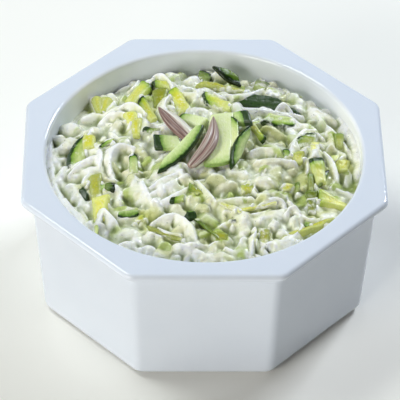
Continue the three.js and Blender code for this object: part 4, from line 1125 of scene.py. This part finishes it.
def own_shares(cuts, shell):
    """Ripeness, cling and soak of each piece, on every point of its shell. A piece is less ripe
    towards its sides, and more yoghurt clings to it the closer it gets to its lower end."""
    spread = np.ones((*shell.shape[:3], 1))
    ends = RIM_TOP + cuts[:, [2, 5, 8]]
    low, fall = ends.min(axis=1)[:, None, None, None], np.ptp(ends, axis=1)[:, None, None, None]
    sunk = smooth_step(1 - (shell[..., 2:] - low + 0.4) / (0.4 + 0.5 * fall))
    inner = np.array([1, 1, 0.85, 0.7, *[0.6] * 8, 0.7, 0.85, 1, 1])[None, :, None, None]
    return {"ripeness": close_rings(cuts[:, 13, None, None, None] * spread * inner)[:, 0],
            "clinging": close_rings(cuts[:, 14, None, None, None] + LOW_END_CLING * sunk)[:, 0],
            "soaked": close_rings(cuts[:, 15, None, None, None] * spread)[:, 0]}


# Loose pieces, by the name of their solid: places as in DIP_CUTS but in mm over the rim,
# and then the same sizes and shares
GARNISH_CUTS = {
    "cucumber_front": ((156.5, 173, 2.2), (204.8, 123.5, 6.2), (179.5, 141, 4.8),
        4.4, 0.68, 4.2, -0.1, 0.12, -0.3, 0),
    "cucumber_right": ((233, 168.5, 1.2), (252.4, 123.5, 7), (246.4, 146.5, 3.4),
        5.2, 0.42, 4.6, -0.5, 0.1, -0.3, 0.25),
    "cucumber_top": ((247.5, 108.5, 7.2), (251.5, 122, 6), (232, 117.5, 4.2),
        0.3, 0.85, 4.2, -2.4, 0.1, -0.3, 0),
    "cucumber_middle": ((203.5, 164, 2), (230.5, 160.5, 2.2), (222, 112.5, 6),
        1.4, 0.9, 2.8, 1.9, 0.16, -0.3, 0),
    "cucumber_behind": ((229.8, 113.8, 6), (238.5, 120, 5.6), (235, 149, 3.2),
        0.2, 1, 3.4, 0, 0.3, -0.3, 0),
    "cucumber_left": ((153, 133.5, 3), (155, 148, 1.4), (180, 141.5, 3),
        0.5, 0.9, 3, -2.4, 0.1, -0.3, 0.3),
    "cucumber_back": ((177.8, 118, 1.8), (184, 112, 2.4), (203.5, 122, 4.4),
        0.9, 1.7, 3.8, 0.1, 0.15, -0.3, 0),
}
cucumber_flesh = cucumber_material("cucumber_fresh_cut", FRESH_YOUNG, FRESH_RIPE)
garnish_cuts = laid(GARNISH_CUTS, 3, over_rim)
shell, under_skin = cut_shells(garnish_cuts, LOOSE_ROUNDNESS, 0.0)
own = own_shares(garnish_cuts, shell)
per_shell = len(own["ripeness"]) // len(GARNISH_CUTS)
for number, name in enumerate(GARNISH_CUTS):
    one = slice(number, number + 1)
    part = slice(number * per_shell, (number + 1) * per_shell)
    faces = shell_faces(*shell[one].shape[:3])
    piece = mesh_piece(name + "_cut", close_rings(shell[one]), faces, cucumber_flesh,
                       shares={"under_skin": close_rings(under_skin[one])[:, 0],
                               **{key: values[part] for key, values in own.items()}})
    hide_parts(name)

cucumber_soaked = cucumber_material("cucumber_stirred_in", STIRRED_YOUNG, STIRRED_RIPE)
shell, under_skin = cut_shells(dip_cuts, STIRRED_ROUNDNESS, STIRRED_WOBBLE)
cuts = mesh_piece("cucumber_in_dip", close_rings(shell), shell_faces(*shell.shape[:3]), cucumber_soaked,
                  shares={"under_skin": close_rings(under_skin)[:, 0], **own_shares(dip_cuts, shell)})

# ---------------------------------------------------------------------------- red onion
# Slivers of red onion, cut lengthwise from the bulb: two leaves still lying
# together, pointed at the tip, mauve at the outside with paler flesh between.
ONION_TONES = ((0.3, "#7d605a"), (0.5, "#a58d82"), (0.72, "#cdc3b6"))
ONION_SKIN = "#46302a"
ONION_FLESH = "#efeee2"
# The tip and the end of each sliver are points in mm, z from the rim
ONION_SLIVERS = [
    {"name": "onion_right", "tip": over_rim(213.6, 116.9, 6.9), "end": [-6.9, -15, 2.8], "bow": 4.2,
     "width": 7.2, "thick": 3.6, "lift": 1.2, "shares": [0.08, 0.86, 0.6], "mauve": 0.25,
     "pale_highlight_side": 0.2, "pale": 0.1},
    {"name": "onion_left", "tip": over_rim(158.6, 107.5, 3.8), "end": over_rim(190, 138, 2.8), "bow": -0.9,
     "width": 7.6, "thick": 3.6, "lift": 1.6, "shares": [0.1, 0.92, 0.95], "mauve": 0.1,
     "pale_highlight_side": -0.55, "pale": 0.62},
]


def sliver_rings(sliver, rows=60, sides=48):
    """Rings from the tip of a sliver to its end. A ring is an ellipse with a groove along
    its top, whose width follows a sine arch over the straight run from tip to end."""
    tip = np.array(sliver["tip"], float)
    run = np.array(sliver["end"], float) - tip
    length = np.linalg.norm(run)
    along = run / length
    side = np.cross([0, 0, 1], along)
    side /= np.linalg.norm(side)
    up = np.cross(along, side)
    t = np.linspace(0, 1, rows)[:, None]
    turn = np.linspace(0, 2 * np.pi, sides, endpoint=False)[None]
    tip_share, middle_share, end_share = sliver["shares"]
    share = tip_share + (end_share - tip_share) * t
    share = share + (middle_share * 1.25 - (tip_share + end_share) / 2) * np.sin(np.pi * t) ** 0.8
    share = np.maximum(share, 0.1) * np.minimum(1, np.sqrt((1.02 - t) / 0.05))
    groove = 1 - 0.5 * np.exp(-((turn - math.pi / 2) / 0.22) ** 2)
    across = np.cos(turn) * sliver["width"] * share / 2 + sliver["bow"] * np.sin(np.pi * t)
    above = groove * np.sin(turn) * sliver["thick"] * share ** 0.5 / 2 + sliver["lift"] * np.sin(np.pi * t)
    ring = tip + across[..., None] * side + (t * length * np.ones_like(turn))[..., None] * along \
        + above[..., None] * up
    ring[..., 2] += RIM_TOP
    return ring, np.broadcast_to(turn, across.shape), np.broadcast_to(t, across.shape)


def onion_material():
    """Red onion, a fresh inner leaf: a thin mauve skin over translucent white flesh, ribbed
    lengthwise by veins a third of a millimetre apart, with a satin sheen at IOR 1.37."""
    material = blank_material("red_onion_sliver")
    place = add(material, "ShaderNodeUVMap", {"uv_map": "flat"})
    stretch = add(material, "ShaderNodeMapping", inputs={
        "Vector": place.outputs[0], "Scale": (26.0, 1.6, 1.0)})
    vein = add(material, "ShaderNodeTexNoise", {"noise_dimensions": "2D"}, {
        "Vector": stretch.outputs[0], "Scale": 1.0, "Detail": 3.0, "Roughness": 0.6})
    # pale: paler flesh and a painted highlight along one side of each sliver, with painted shade along the
    # groove
    pale = add(material, "ShaderNodeAttribute", {"attribute_name": "pale"})
    tone = add(material, "ShaderNodeMath", {"operation": "MULTIPLY_ADD"}, {
        0: vein.outputs["Fac"], 1: 1.0, 2: pale.outputs["Fac"]})
    ramp = add(material, "ShaderNodeValToRGB", inputs={"Fac": tone.outputs[0]})
    for spot, colour in ONION_TONES:
        ramp.color_ramp.elements.new(spot).color = paint(colour)
    ramp.color_ramp.elements[0].color = paint(ONION_SKIN)
    ramp.color_ramp.elements[-1].color = paint(ONION_FLESH)
    bump = add(material, "ShaderNodeBump", inputs={
        "Height": vein.outputs["Fac"], "Strength": 0.4, "Distance": 0.0003})
    body = add(material, "ShaderNodeBsdfPrincipled", inputs={
        "Base Color": ramp.outputs["Color"], "Roughness": 0.3, "IOR": 1.37,
        "Subsurface Weight": 0.15, "Subsurface Radius": (1.2, 0.7, 0.8), "Subsurface Scale": 0.001,
        "Normal": bump.outputs["Normal"]})
    add(material, "ShaderNodeOutputMaterial", inputs={"Surface": body.outputs[0]})
    return material


onion_flesh = onion_material()
for sliver in ONION_SLIVERS:
    ring, turn, share = sliver_rings(sliver)
    from_top = turn - math.pi / 2
    # the pale band: paler flesh and a painted highlight on one side of the sliver
    pale = -0.25 + sliver["mauve"] + sliver["pale"] * np.exp(-((from_top - sliver["pale_highlight_side"]) / 0.62) ** 2)
    # painted shade: darker along the groove between the two leaves
    pale = pale - 0.3 * np.exp(-(from_top / 0.16) ** 2)
    flat = np.stack([turn / (2 * np.pi), share], axis=-1)
    piece = mesh_piece(sliver["name"] + "_sliver", close_rings(ring[None]), shell_faces(1, *ring.shape[:2]),
                       onion_flesh, shares={"pale": close_rings(pale[None, ..., None])[:, 0]},
                       flat_uv=close_rings(flat[None]))
    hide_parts(sliver["name"])

# ---------------------------------------------------------------------------- table and light
# A pale matt table top in daylight from four windows: a broad low one in front at the
# left, a cooler one behind at the right, one high up at the left, and a faint blue one
# low behind at the left, which edges the heap.
TABLE_WHITE = "#f5f3ec"
SKYLIGHT = "#eef3fa"
SKYLIGHT_STRENGTH = 0.03

table_top = bpy.data.meshes.new("table_top")
table_top.from_pydata([(-4, -4, 0), (4, -4, 0), (4, 4, 0), (-4, 4, 0)], [], [(0, 1, 2, 3)])
table_paint = blank_material("table_matt_white")
matt = add(table_paint, "ShaderNodeBsdfPrincipled", inputs={
    "Base Color": paint(TABLE_WHITE), "Roughness": 0.6})
add(table_paint, "ShaderNodeOutputMaterial", inputs={"Surface": matt.outputs[0]})
table_top.materials.append(table_paint)
table = bpy.data.objects.new("table_top", table_top)
scene.collection.objects.link(table)

room = bpy.data.worlds.new("room")
room.use_nodes = True
room.node_tree.nodes["Background"].inputs["Color"].default_value = paint(SKYLIGHT)
room.node_tree.nodes["Background"].inputs["Strength"].default_value = SKYLIGHT_STRENGTH
scene.world = room


def window(name, at, size, power, colour):
    """A square area light at `at`, in metres, that faces the dish."""
    light = bpy.data.lights.new(name, "AREA")
    light.shape = "SQUARE"
    light.size = size
    light.energy = power
    light.color = paint(colour)[:3]
    lamp = bpy.data.objects.new(name, light)
    lamp.matrix_world = Matrix.Translation(at) @ \
        (Vector((0, 0, 0.06)) - Vector(at)).to_track_quat("-Z", "Y").to_matrix().to_4x4()
    scene.collection.objects.link(lamp)


window("window_front", (-0.95, -1.15, 0.55), 0.8, 15.5, "#fffdf7")
window("window_back_right", (0.87, 0.93, 1.0), 0.4, 18.6, "#ecf4ff")
window("window_high_left", (-0.7, 0.25, 1.4), 0.5, 10.6, "#f8fefc")
window("window_back_left", (-1.1, 0.8, 0.8), 0.4, 3.2, "#e2ecff")
